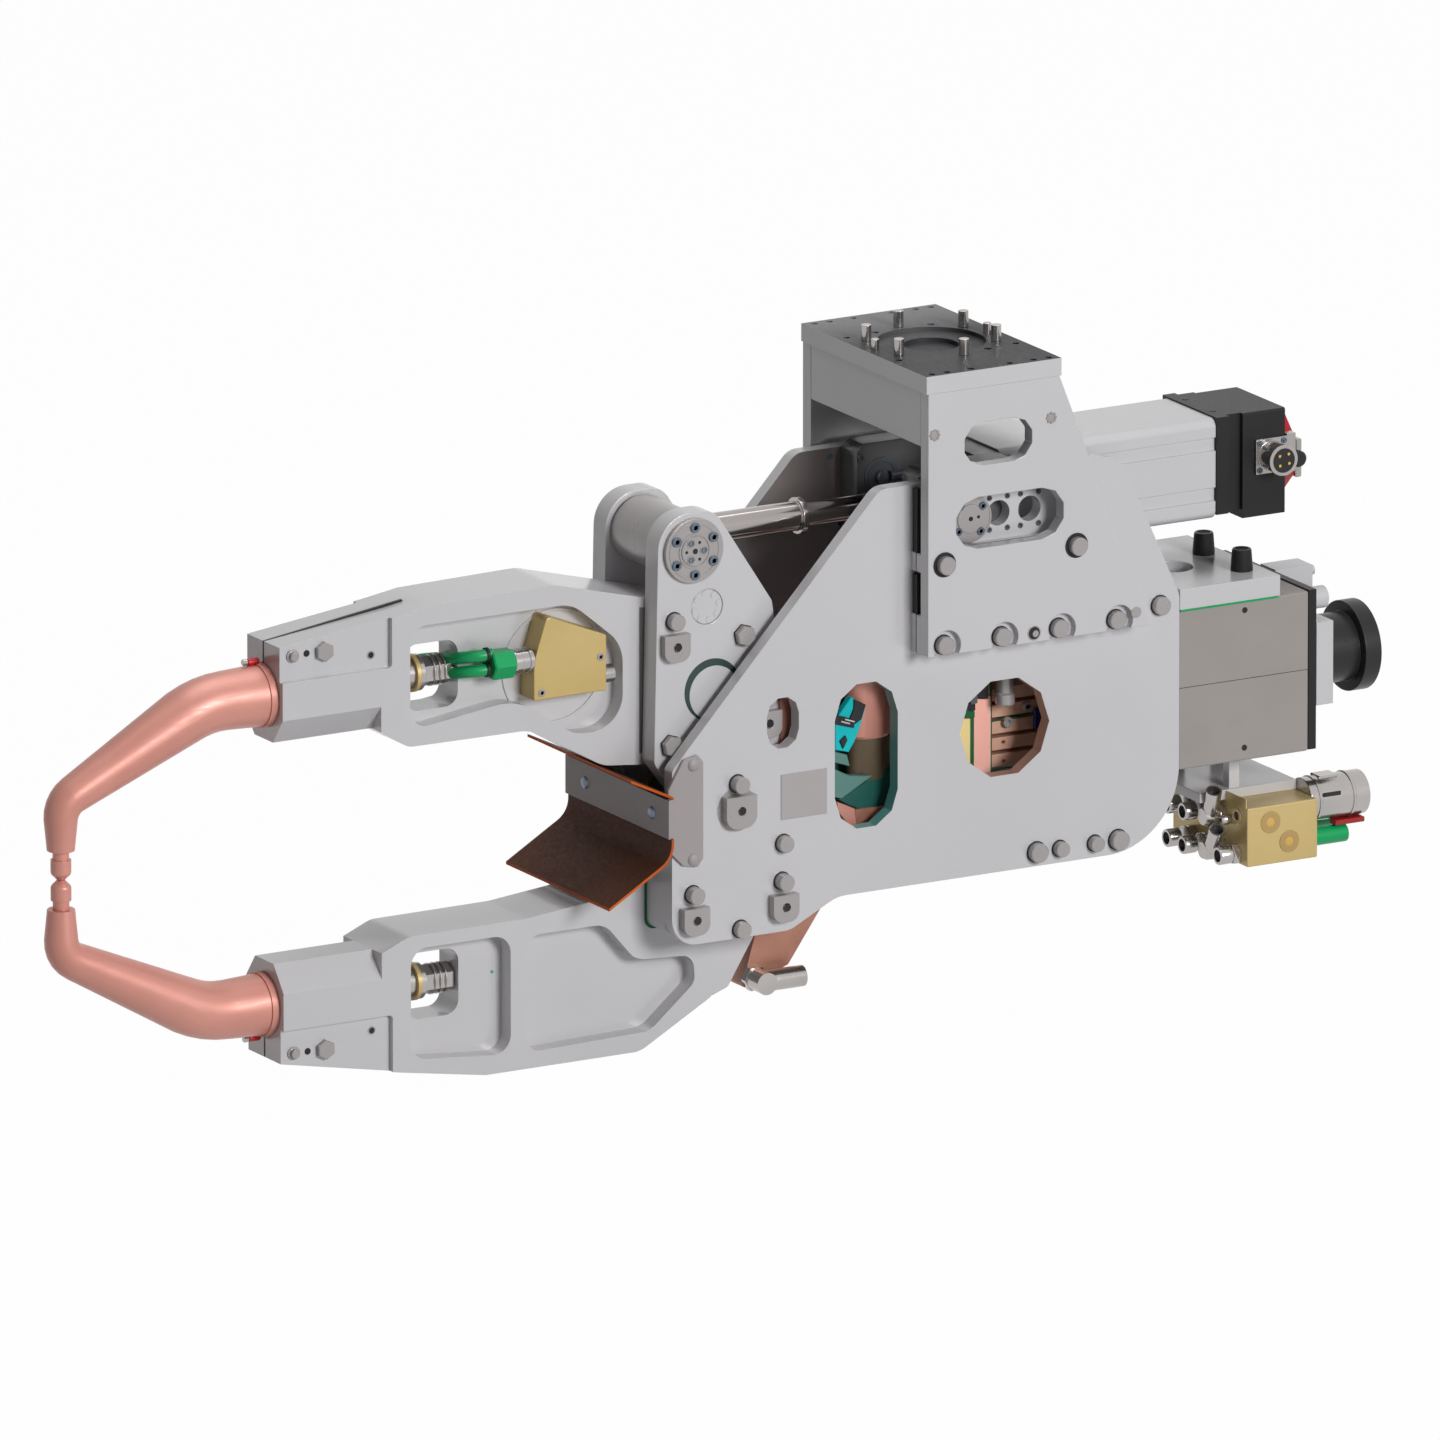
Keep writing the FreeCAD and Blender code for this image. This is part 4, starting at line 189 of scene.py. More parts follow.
def finish(name, light, dark, metallic, low, high, marks=300, drift=7.0, bump=0.05, specular=0.5,
           dust=0.0, dust_colour=None):
    """A surface finish: two tones, tool marks in its gloss and height, and a little dust."""
    material = bpy.data.materials.new(name)
    material.use_nodes = True
    tree = material.node_tree
    place = add_node(tree, "TexCoord").outputs["Object"]
    colour = add_node(tree, "Group",
                      {"Place": place, "Scale": drift, "Light": (*light, 1), "Dark": (*dark, 1)},
                      node_tree=TONE_DRIFT).outputs["Color"]
    if dust > 0:
        grains = add_node(tree, "Group", {"Place": place, "Amount": dust}, node_tree=SPECKLE)
        colour = mixed(tree, grains.outputs["Mask"], colour, (*dust_colour, 1))
    stretch = marks if isinstance(marks, tuple) else (marks, marks, marks)
    cut = add_node(tree, "Group", {"Place": place, "Stretch": stretch, "Low": low, "High": high},
                   node_tree=TOOL_MARKS).outputs
    feeds = {"Base Color": colour, "Roughness": cut["Roughness"], "Metallic": metallic,
             "Specular IOR Level": specular}
    if bump > 0:
        relief = add_node(tree, "Bump", {"Strength": bump, "Distance": 0.0004, "Height": cut["Height"]})
        feeds["Normal"] = relief.outputs["Normal"]
    for socket, source in feeds.items():
        feed(tree, tree.nodes["Principled BSDF"].inputs[socket], source)
    return material


def paint_reflection_towards_far_side(material, pale, start, end):
    """Paint a reflection into a finish: it grows paler along Y from start to end, in metres."""
    tree = material.node_tree
    base = tree.nodes["Principled BSDF"].inputs["Base Color"]
    split = add_node(tree, "SeparateXYZ", {0: add_node(tree, "TexCoord").outputs["Object"]})
    reach = add_node(tree, "MapRange", {"Value": split.outputs["Y"], "From Min": start, "From Max": end},
                     interpolation_type="SMOOTHSTEP")
    feed(tree, base, mixed(tree, reach.outputs["Result"], base.links[0].from_socket, (*pale, 1)))


FINISH = {
    "machined": finish("machined_plate", (0.595, 0.585, 0.60), (0.58, 0.572, 0.587), 0.10, 0.20, 0.25,
                       (12, 30, 30), bump=0, specular=0.45),
    "dark_plate": finish("black_anodised_plate", (0.035, 0.035, 0.038), (0.022, 0.022, 0.025), 0.1, 0.4,
                         0.5, (400, 60, 400), specular=0.12),
    "steel": finish("turned_steel", (0.375, 0.355, 0.35), (0.355, 0.335, 0.33), 0.25, 0.27, 0.32, 40, bump=0),
    "insulation": finish("glass_fibre_sheet", (0.02, 0.40, 0.33), (0.015, 0.30, 0.25), 0.0, 0.4, 0.55, 900,
                         specular=0.3, dust=0.2, dust_colour=(0.1, 0.5, 0.42)),
    "bronze": finish("bare_bronze", (0.60, 0.45, 0.19), (0.53, 0.385, 0.14), 0.3, 0.3, 0.42, (120, 700, 300)),
    "copper": finish("bare_copper_alloy", (0.70, 0.31, 0.25), (0.63, 0.265, 0.21), 0.22, 0.34, 0.46,
                     (40, 300, 300), drift=9.0),
    "busbar_copper": finish("tarnished_copper", (0.42, 0.20, 0.14), (0.30, 0.13, 0.09), 0.4, 0.35, 0.5,
                            (60, 400, 400), drift=14.0),
    "black_cover": finish("black_satin_cover", (0.022, 0.020, 0.020), (0.014, 0.013, 0.013), 0.0, 0.35, 0.5,
                          900, specular=0.2),
    "red_cap": finish("red_anodised_cap", (0.55, 0.02, 0.03), (0.42, 0.012, 0.02), 0.2, 0.3, 0.42,
                      specular=0.3),
    "nickel": finish("nickel_plate", (0.46, 0.435, 0.42), (0.36, 0.34, 0.33), 0.9, 0.14, 0.22, 200),
    "transformer_grey": finish("warm_grey_paint", (0.36, 0.33, 0.31), (0.33, 0.30, 0.285), 0.0, 0.45, 0.58,
                               specular=0.25, dust=0.12, dust_colour=(0.42, 0.39, 0.37)),
    "black_plastic": finish("black_moulding", (0.02, 0.02, 0.021), (0.012, 0.012, 0.013), 0.0, 0.28, 0.42,
                            600, specular=0.3),
    "buffer_rubber": finish("buffer_rubber", (0.014, 0.014, 0.014), (0.009, 0.009, 0.009), 0.0, 0.5, 0.65,
                            500, specular=0.2),
    "green_plastic": finish("green_moulding", (0.0, 0.40, 0.12), (0.0, 0.32, 0.095), 0.0, 0.28, 0.4, 200,
                            specular=0.35),
    "guard_grey": finish("guard_strip_paint", (0.40, 0.365, 0.365), (0.365, 0.335, 0.335), 0.05, 0.42, 0.55,
                         specular=0.2),
    "guard_brown": finish("spatter_guard_hide", (0.08, 0.026, 0.010), (0.055, 0.016, 0.006), 0.0, 0.5, 0.7,
                          260, bump=0.25, specular=0.15, dust=0.15, dust_colour=(0.12, 0.045, 0.02)),
}
SCREW_TEAL = finish("blue_passivated_screw", (0.13, 0.17, 0.215), (0.10, 0.13, 0.17), 0.4, 0.25, 0.4)
# Painted shade: dark discs, slits and bars in this finish stand in for the shade inside holes, counterbores,
# slits and seams.
PAINTED_RECESS_SHADE = finish("painted_recess_shade", (0.03, 0.03, 0.032), (0.02, 0.02, 0.022), 0.3, 0.35, 0.5, (300, 300, 900),
                   specular=0.2)
GOLD = finish("gold_contact", (0.75, 0.52, 0.16), (0.65, 0.42, 0.10), 0.9, 0.2, 0.3, 200)
LABEL = finish("bare_label_plate", (0.42, 0.395, 0.395), (0.40, 0.375, 0.375), 0.1, 0.35, 0.48,
               (80, 80, 600), specular=0.3)
# Painted glow: orange on the guard flaps' cut edges stands in for light shining through the thin hide.
EDGE_GLOW_PAINTED = finish("orange_edge_painted_glow", (0.62, 0.12, 0.015), (0.48, 0.08, 0.01), 0.0, 0.5, 0.65, specular=0.2)
SILICONE = finish("blue_moulding", (0.015, 0.02, 0.16), (0.01, 0.012, 0.10), 0.0, 0.35, 0.5, specular=0.25)
GREEN_SHEET = finish("green_edge_sheet", (0.0, 0.16, 0.06), (0.0, 0.11, 0.04), 0.0, 0.4, 0.5, 600,
                     specular=0.3)
DARK_GREEN = finish("dark_green_block", (0.01, 0.10, 0.08), (0.006, 0.06, 0.05), 0.0, 0.3, 0.45, specular=0.3)
TURQUOISE = finish("turquoise_moulding", (0.0, 0.60, 0.64), (0.0, 0.45, 0.49), 0.0, 0.3, 0.45, specular=0.3)
# Partly painted shade: the drum under the shunt is a real form, and its dark brown stands in for the shade
# beneath the shunt.
BROWN_DRUM_PAINTED_SHADE = finish("brown_drum_painted_shade", (0.13, 0.095, 0.06), (0.09, 0.065, 0.04), 0.2, 0.35, 0.5, (300, 300, 900),
                    specular=0.25)
# Partly painted light: the pad's own tan, made paler to make up for the shade inside the window.
TAN_PAINTED_LIGHT = finish("tan_painted_light", (0.95, 0.78, 0.36), (0.88, 0.70, 0.30), 0.1, 0.4, 0.55, specular=0.3)
GREY_SHEET = finish("grey_laminate", (0.14, 0.135, 0.13), (0.10, 0.10, 0.095), 0.0, 0.4, 0.5, 400,
                    specular=0.3)
# Partly painted light: copper made paler than its own tone, to make up for the shade inside the window.
COPPER_PAINTED_LIGHT = finish("copper_painted_light", (1.0, 0.56, 0.47), (1.0, 0.50, 0.42), 0.1, 0.4, 0.55, 200, specular=0.3)
GREY_GREEN = finish("grey_green_moulding", (0.10, 0.24, 0.21), (0.07, 0.18, 0.16), 0.0, 0.35, 0.5)
RED_DOT = finish("red_mark", (0.35, 0.01, 0.01), (0.28, 0.01, 0.01), 0.0, 0.4, 0.5)
GREY_BLUE = finish("grey_blue_cover", (0.10, 0.11, 0.125), (0.08, 0.088, 0.10), 0.2, 0.3, 0.4)
DULL_BRONZE = finish("dull_bronze", (0.46, 0.31, 0.115), (0.40, 0.26, 0.09), 0.25, 0.3, 0.42, (120, 300, 300))
# Painted shade: the yoke cheeks are darker than their metal, for the shade inside the frame.
YOKE_GREY_PAINTED_SHADE = finish("yoke_grey_painted_shade", (0.12, 0.12, 0.12), (0.09, 0.09, 0.09), 0.15, 0.3, 0.42, 60, bump=0)
ORANGE_CORE = finish("orange_plug", (0.70, 0.42, 0.10), (0.62, 0.36, 0.08), 0.1, 0.3, 0.42)
PALE_BLUE = finish("pale_blue_screw", (0.36, 0.41, 0.55), (0.30, 0.35, 0.48), 0.2, 0.3, 0.42, 200)
COLUMN_COPPER = finish("column_copper", (0.58, 0.255, 0.205), (0.52, 0.22, 0.175), 0.3, 0.36, 0.48,
                       (60, 300, 300))
# Painted shade: a thin dark green ring stands in for the shade in the spigot's groove.
GROOVE_SHADE_GREEN = finish("groove_shade", (0.02, 0.055, 0.045), (0.015, 0.04, 0.033), 0.1, 0.35, 0.45, 200)
TERMINAL_COPPER = finish("terminal_copper", (0.74, 0.45, 0.33), (0.66, 0.39, 0.28), 0.2, 0.4, 0.52,
                         (60, 400, 400))
# Painted shade: a darker grey for the inner faces of the far plates and the console beams, for the shade
# inside the frame.
PAINTED_INNER_SHADE = finish("painted_inner_shade", (0.22, 0.195, 0.19), (0.18, 0.158, 0.152), 0.1, 0.3, 0.4,
                    (12, 30, 30), bump=0)
# Painted reflection: the walls of the slot and the round window carry the teal and tan of the parts behind
# them.
PAINTED_TEAL_REFLECTION = finish("slot_wall_painted_teal_reflection", (0.15, 0.42, 0.41), (0.11, 0.34, 0.33), 0.1, 0.3, 0.4, 60, bump=0)
PAINTED_TAN_REFLECTION = finish("round_wall_painted_tan_reflection", (0.50, 0.31, 0.24), (0.42, 0.26, 0.20), 0.1, 0.3, 0.4, 60, bump=0)
MOUNT_TOP = finish("mount_plate_top", (0.035, 0.035, 0.038), (0.022, 0.022, 0.025), 0.1, 0.4, 0.5,
                   (400, 60, 400), specular=0.12)
# Painted reflection: the mount plate's top grows paler towards the far side.
paint_reflection_towards_far_side(MOUNT_TOP, (0.21, 0.21, 0.215), -0.005, 0.125)
CHROME = finish("chromed_rod", (0.42, 0.385, 0.375), (0.37, 0.34, 0.33), 1.0, 0.10, 0.15, (900, 60, 60),
                bump=0.02)


# Making pieces

def turn_to(axis):
    """The turn that takes +Z to a main direction or to any other."""
    if not isinstance(axis, str):
        return Vector((0, 0, 1)).rotation_difference(Vector(axis)).to_matrix().to_4x4()
    return {
        "+Z": Matrix.Identity(4),
        "-Y": Matrix.Rotation(math.pi / 2, 4, "X"), "+Y": Matrix.Rotation(-math.pi / 2, 4, "X"),
        "+X": Matrix.Rotation(math.pi / 2, 4, "Y"), "-X": Matrix.Rotation(-math.pi / 2, 4, "Y"),
    }[axis]


def place_at(centre, axis="+Z", roll=0.0):
    """The matrix that takes a shape in millimetres from the origin to its place."""
    where = Matrix.Translation(Vector(centre) * MM) @ turn_to(axis)
    return where @ Matrix.Rotation(math.radians(roll), 4, "Z") @ TO_METRES


def edges_of(verts):
    return list({e for v in verts for e in v.link_edges})


def faces_of(verts):
    return list({f for v in verts for f in v.link_faces})


def only(kind, geom):
    return [g for g in geom if isinstance(g, kind)]


def break_edges(bm, edges, width, steps=1):
    return bmesh.ops.bevel(bm, geom=edges, offset=width, offset_type="OFFSET", segments=steps, profile=0.5,
                           affect="EDGES", clamp_overlap=True, material=-1)


def spin_round(bm, profile, segments):
    """Spin (radius, height) pairs round +Z, and return the corners that were there before."""
    known = set(bm.verts)
    verts = [bm.verts.new((radius, 0.0, height)) for radius, height in profile]
    edges = [bm.edges.new(pair) for pair in zip(verts, verts[1:])]
    bmesh.ops.spin(bm, geom=verts + edges, cent=(0, 0, 0), axis=(0, 0, 1), dvec=(0, 0, 0),
                   angle=math.tau, steps=segments, use_merge=True, use_duplicate=False)
    bmesh.ops.remove_doubles(bm, verts=[v for v in bm.verts if v not in known], dist=1e-4)
    return known


def settle(bm, known, where):
    """Turn the new faces outwards and put the new corners in their place."""
    made = [v for v in bm.verts if v not in known]
    bmesh.ops.recalc_face_normals(bm, faces=faces_of(made))
    bmesh.ops.transform(bm, matrix=where, verts=made)
    return made


def turned(bm, profile, centre, axis="+Z", segments=32):
    """A turned shape: profile is (radius, height) pairs along the axis, in millimetres."""
    return settle(bm, spin_round(bm, profile, segments), place_at(centre, axis))


def button(bm, radius, height, centre, axis, edge=0.8, segments=32):
    """A plain turned head or disc with a broken edge."""
    return turned(bm, ((0, 0), (radius, 0), (radius, height - edge), (radius - edge, height), (0, height)),
                  centre, axis, segments)


def ring(bm, outer, inner, height, centre, axis, edge=0.5, segments=40):
    """A turned ring with broken upper rims."""
    return turned(bm, ((inner, 0), (outer, 0), (outer, height - edge), (outer - edge, height),
                       (inner + edge, height), (inner, height - edge), (inner, 0)), centre, axis, segments)


def six_sided(bm, radius, height, centre, axis, roll=0.0, edge=0.8):
    """A hexagon head or nut: radius is to its corners."""
    middle = Matrix.Translation((0, 0, height / 2))
    made = bmesh.ops.create_cone(bm, cap_ends=True, cap_tris=False, segments=6, radius1=radius,
                                 radius2=radius, depth=height, matrix=middle)["verts"]
    rim = [e for e in edges_of(made) if all(v.co.z > height - 1e-6 for v in e.verts)]
    cut = break_edges(bm, rim, edge)
    made = list({v for v in made if v.is_valid} | set(cut["verts"]))
    bmesh.ops.transform(bm, matrix=place_at(centre, axis, roll), verts=made)


def socket_head(bm, radius, height, centre, axis):
    """A cap screw: a round head with a six sided socket sunk in it."""
    edge = radius * 0.09
    known = spin_round(bm, ((0, 0), (radius, 0), (radius, height - edge), (radius - edge, height)), 28)
    rim = [e for e in bm.edges if e.is_boundary and all(abs(v.co.z - height) < 1e-4 for v in e.verts)]
    hexagon = bmesh.ops.create_circle(bm, cap_ends=False, segments=6, radius=radius * 0.5,
                                      matrix=Matrix.Translation((0, 0, height)))["verts"]
    mouth = edges_of(hexagon)
    bmesh.ops.bridge_loops(bm, edges=rim + mouth)
    sunk = bmesh.ops.extrude_edge_only(bm, edges=mouth)["geom"]
    bmesh.ops.translate(bm, verts=only(BMVert, sunk), vec=(0, 0, -height * 0.6))
    bmesh.ops.contextual_create(bm, geom=only(BMEdge, sunk))
    settle(bm, known, place_at(centre, axis))


def bar(bm, low, high, edge=0.6):
    """A rectangular bar between two opposite corners, with broken edges."""
    low, high = Vector(low), Vector(high)
    made = bmesh.ops.create_cube(bm, size=1.0, matrix=Matrix.Translation((low + high) / 2 * MM)
                                 @ Matrix.Diagonal((*(abs(v) * MM for v in high - low), 1)))["verts"]
    break_edges(bm, edges_of(made), edge * MM)


def plate(bm, outline, low, high, edge=0.6):
    """A flat plate: outline is (x, z) corners in millimetres, low and high its two Y faces."""
    low, high = sorted((low, high))
    verts = [bm.verts.new((x * MM, low * MM, z * MM)) for x, z in outline]
    top = only(BMVert, bmesh.ops.extrude_face_region(bm, geom=[bm.faces.new(verts)])["geom"])
    bmesh.ops.translate(bm, verts=top, vec=(0, (high - low) * MM, 0))
    made = verts + top
    bmesh.ops.recalc_face_normals(bm, faces=faces_of(made))
    if edge > 0:
        break_edges(bm, edges_of(made), edge * MM)


def blank(count):
    """Empty meshes, as many as asked for."""
    return [bmesh.new() for _ in range(count)]


def alone(shape, *sizes):
    """A mesh of one shape."""
    bm = bmesh.new()
    shape(bm, *sizes)
    return bm


def plates(*rows):
    """A mesh of several plates."""
    bm = bmesh.new()
    for sizes in rows:
        plate(bm, *sizes)
    return bm


def around(count, radius, start=0.0):
    """Steps in X and Z from the middle of a circle to points spread evenly on it."""
    turns = [math.radians(360 / count * i + start) for i in range(count)]
    return [(radius * math.cos(turn), radius * math.sin(turn)) for turn in turns]


def piece(name, bm, body, slot, material=None, stands_for=(), sharp=35.0):
    """A piece that moves with a body, in its slot's finish unless another is given."""
    mesh = bpy.data.meshes.new(name)
    bm.to_mesh(mesh)
    bm.free()
    mesh.materials.append(material or FINISH[slot])
    for polygon in mesh.polygons:
        polygon.use_smooth = True
    mesh.set_sharp_from_angle(angle=math.radians(sharp))
    made = new_object(name, mesh)
    if body:
        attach(made, body)
    if stands_for:
        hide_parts(*stands_for)
    return made


# The solids of the frame, with broken edges and their finishes

def dress(node, edge, material=None):
    """A copy of a node with its edges broken, which stands for the node."""
    bm = bmesh.new()
    bm.from_mesh(frame["nodes"][node].data)
    bmesh.ops.remove_doubles(bm, verts=bm.verts, dist=2e-6)
    bmesh.ops.dissolve_limit(bm, angle_limit=math.radians(0.6), use_dissolve_boundaries=False,
                             verts=bm.verts, edges=bm.edges)
    if edge > 0:
        sharp_from = math.radians(29.0)
        sharp = [e for e in bm.edges if len(e.link_faces) == 2 and e.calc_face_angle(0.0) > sharp_from]
        break_edges(bm, sharp, edge * MM, 2)
    made = piece(node + "_dressed", bm, BODY_OF[node], SLOT_OF[node], material, (node,), 50.0)
    even = made.modifiers.new("even_normals", "WEIGHTED_NORMAL")
    even.keep_sharp = True
    return made


DRESSED = {
    "mount_plate": 0.8, "flange_studs": 0.8, "flange_dowels": 0.8, "console_side_near": 1.0,
    "console_side_far": 1.0, "console_front_beam": 1.0, "console_rear_beam": 1.0, "insulation_strips": 0,
    "main_plate_near": 1.0, "main_plate_far": 1.0, "plate_cross_block": 1.0, "pivot_axle": 0.8,
    "lower_arm_pins": 0.8, "ear_pins": 0.8, "upper_arm": 1.2, "lower_arm": 1.2,
    "lower_arm_spacers": 0.8, "lower_arm_insulation": 0, "lever_ear_near": 1.0, "lever_ear_far": 1.0,
    "ear_insulation": 0, "pivot_bushes": 0.4, "upper_electrode_arm": 0.5, "lower_electrode_arm": 0.5,
    "upper_electrode_cap": 0.3, "lower_electrode_cap": 0.3, "servo_body": 0.8,
    "servo_cover": 2.2, "servo_end_cap": 1.4, "piston_rod": 0.5, "rod_eye": 1.0,
    "transformer": 2.0, "transformer_top_plate": 1.0, "transformer_rear_plate": 0.8, "rear_terminals": 1.0,
    "power_connector": 0.8, "rubber_buffers": 0.8, "secondary_terminals": 0.6, "arm_terminal": 0.8,
    "lower_busbar": 1.2, "busbar_elbow": 0.5, "water_manifold": 1.5, "manifold_hanger": 0.8,
    "flow_couplings": 1.0, "coupling_sleeves": 0.8, "arm_manifold": 1.2, "arm_fittings": 0.5,
    "lower_arm_connectors": 0.5, "guard_bracket": 0.4, "guard_flap_upper": 0, "guard_flap_lower": 0,
    "trunnion_pins": 0.8, "lever_pin": 0.8, "servo_connectors": 0.6,
}
OWN_FINISH = {
    "mount_plate": MOUNT_TOP, "flange_studs": FINISH["nickel"], "flange_dowels": FINISH["nickel"],
    "insulation_strips": GREY_SHEET, "ear_insulation": GREY_SHEET, "lower_arm_insulation": GREEN_SHEET,
    "piston_rod": CHROME, "secondary_terminals": TERMINAL_COPPER,
}
SOLIDS = {node: dress(node, edge, OWN_FINISH.get(node)) for node, edge in DRESSED.items()}


def add_finish(node, material, chosen):
    """Give the faces that chosen(centre, normal) picks, in millimetres, another finish."""
    mesh = SOLIDS[node].data
    mesh.materials.append(material)
    for polygon in mesh.polygons:
        if chosen(polygon.center / MM, polygon.normal):
            polygon.material_index = len(mesh.materials) - 1


for dressed, other, where in (
    ("mount_plate", FINISH["machined"], lambda c, n: abs(n.z) < 0.9 and (abs(c.x) > 74 or abs(c.y) > 119)),
    # Painted reflections of the teal and tan parts behind them, on the window walls of the near plate.
    ("main_plate_near", PAINTED_TEAL_REFLECTION, lambda c, n: abs(n.y) < 0.3 and -150 < c.x < -85 and -490 < c.z < -300),
    ("main_plate_near", PAINTED_TAN_REFLECTION, lambda c, n: abs(n.y) < 0.3 and 5 < c.x < 130 and -435 < c.z < -290),
    # Painted shade on the inner and lower faces of the far plates and the beams.
    ("main_plate_far", PAINTED_INNER_SHADE, lambda c, n: n.y < -0.9 and c.y < 80),
    ("console_side_far", PAINTED_INNER_SHADE, lambda c, n: n.y < -0.9 and c.y < 100),
    ("console_front_beam", PAINTED_INNER_SHADE, lambda c, n: n.z < -0.9 or n.x > 0.9),
    ("console_rear_beam", PAINTED_INNER_SHADE, lambda c, n: n.z < -0.9 or n.x < -0.9),
    # Tan with painted light, on the terminal faces inside the window.
    ("secondary_terminals", TAN_PAINTED_LIGHT, lambda c, n: c.x < 25.2),
    ("secondary_terminals", GREEN_SHEET, lambda c, n: 25.2 <= c.x < 28.9),
    ("secondary_terminals", COPPER_PAINTED_LIGHT, lambda c, n: 28.9 <= c.x < 48.2),
    # Painted glow of light through the flaps' edges.
    ("guard_flap_upper", EDGE_GLOW_PAINTED, lambda c, n: abs(n.y) > 0.9 or c.x < -390.3),
    ("guard_flap_lower", EDGE_GLOW_PAINTED, lambda c, n: abs(n.y) > 0.9 or c.x < -414.2),
):
    add_finish(dressed, other, where)


# Bolts of the side plates and the console

def round_head(heads, seat_shades, radius, height, centre, axis, seat_radius=None):
    """A round head with a faint six sided mark, over a dark disc of painted shade that stands for its
    counterbore.
    """
    button(heads, radius, height, centre, axis, radius * 0.1, 30)
    six_sided(heads, radius * 0.42, height + 0.12, centre, axis, 14, 0.05)
    button(seat_shades, seat_radius or radius + 1.1, 0.9, centre, axis, 0.05, 30)


def bolts_of_frame():
    bm, seat_shades = blank(2)
    for side, out in SIDES:
        for x in (-55, 92):
            round_head(bm, seat_shades, 9.0, 8.0, (x, side * CONSOLE_FACE, -188.5), out, 12.4)
        for x in (-52, 12, 76, 140):
            round_head(bm, seat_shades, 9.0, 8.0, (x, side * 112, -270), out)
        round_head(bm, seat_shades, 9.0, 8.0, (204, side * PLATE_FACE, -270), out)
        for x, radius in ((66.5, 9.6), (92.5, 7.5), (131.5, 7.5), (157.5, 9.6)):
            round_head(bm, seat_shades, radius, 9.0, (x, side * PLATE_FACE, -498), out)
        for x, z in ((-215.5, -451), (-263, -530)):
            round_head(bm, seat_shades, 8.2, 9.0, (x, side * PLATE_FACE, z), out)
        for x, z in ((-266.5, -384.9), (-316, -488.4), (-217, -488.4)):
            round_head(bm, seat_shades, 8.2, 12.0, (x, side * PLATE_FACE, z), out)
        for x, z in ((-316, -513), (-217, -513), (-266.5, PIVOT_HEIGHT)):
            button(seat_shades, 3.3, 0.35, (x, side * 98, z), out, 0.05, 20)
    piece("plate_bolts", bm, "frame", "steel", stands_for=("frame_bolts",))
    # Painted shade: the dark seat discs stand for the shaded counterbores round the heads.
    piece("plate_bolt_seat_shade", seat_shades, "frame", "steel", PAINTED_RECESS_SHADE)


def bolts_of_lever():
    bm, seat_shades = blank(2)
    for side, out in SIDES:
        for x, z in ((-326, -345), (-245, -246)):
            six_sided(bm, 10.4, 8.0, (x, side * EAR_FACE, z), out, 12)
            six_sided(seat_shades, 11.3, 0.7, (x, side * EAR_FACE, z), out, 12, 0.05)
        for x, z in ((-322, -222.4), (-220.5, -311.4)):
            round_head(bm, seat_shades, 8.2, 10.0, (x, side * EAR_FACE, z), out)
        for x, z in ((-322, -247), (-220.5, -336)):
            button(seat_shades, 3.3, 0.35, (x, side * 71, z), out, 0.05, 20)
    piece("ear_bolts", bm, "lever", "steel", stands_for=("lever_bolts",))
    piece("ear_bolt_seat_shade", seat_shades, "lever", "steel", PAINTED_RECESS_SHADE)


bolts_of_frame()
bolts_of_lever()


# Fine detail of the hinge and the arms

def pin_cover(bm, screws, centre, side, out):
    """Cap screws and the inner disc on the cover of the lever pin."""
    x, y, z = centre
    ring(bm, 28.0, 26.0, 0.6, centre, out, 0.2)
    ring(bm, 17.5, 15.6, 0.8, centre, out, 0.2)
    button(bm, 14.8, 1.2, centre, out, 0.4)
    for dx, dz in around(6, 23.5, 30):
        socket_head(screws, 4.9, 2.4, (x + dx, y, z + dz), out)
    for dx, dz in around(3, 9.5):
        ring(bm, 4.4, 3.4, 1.9, (x + dx, y, z + dz), out, 0.2, 24)
        socket_head(screws, 2.8, 2.2, (x + dx, y + 0.2 * side, z + dz), out)


def hinge_detail():
    discs, screws, holes, plugs = blank(4)
    for side, out in SIDES:
        face = side * 67.5
        pin_cover(discs, screws, (LEVER_PIN_X, face, DRIVE_HEIGHT), side, out)
        for dx, dz in around(3, 9.5, 60):
            button(holes, 1.6, 1.4, (LEVER_PIN_X + dx, face, DRIVE_HEIGHT + dz), out, 0.1, 16)
        button(holes, 2.8, 1.5, (LEVER_PIN_X, face, DRIVE_HEIGHT), out, 0.1, 20)
        plug_face = side * 60.2
        button(plugs, 17.2, 1.4, (-285, plug_face, -213), out, 0.5, 40)
        for dx, dz in around(8, 13.4, 10):
            turned(plugs, ((0, 0), (3.6, 0), (3.2, 2.0), (0, 2.0)),
                   (-285 + dx, plug_face, -213 + dz), out, 16)
    piece("lever_pin_covers", discs, "lever", "steel")
    piece("lever_pin_screws", screws, "lever", "steel", SCREW_TEAL)
    piece("lever_pin_holes", holes, "lever", "steel", PAINTED_RECESS_SHADE)
    piece("ear_plugs", plugs, "lever", "steel", FINISH["machined"])
    heel = ((-260.5, -551.4), (-212.9, -556.2), (-242.7, -604.6), (-260.5, -610.9))
    piece("lower_arm_heel", alone(plate, heel, -30, 30, 1.0), "frame", "machined")
    groove, spigot = blank(2)
    for side, out in SIDES:
        button(groove, 31.0, 0.4, (-279.0, side * EAR_FACE, -296.0), out, 0.1, 48)
        button(spigot, 27.0, 0.9, (-279.0 + 1.2, side * EAR_FACE, -296.0 - 3.2), out, 0.3, 48)
    piece("spigot_groove", groove, "lever", "insulation", GROOVE_SHADE_GREEN)
    piece("spigot_face", spigot, "lever", "steel", FINISH["machined"])


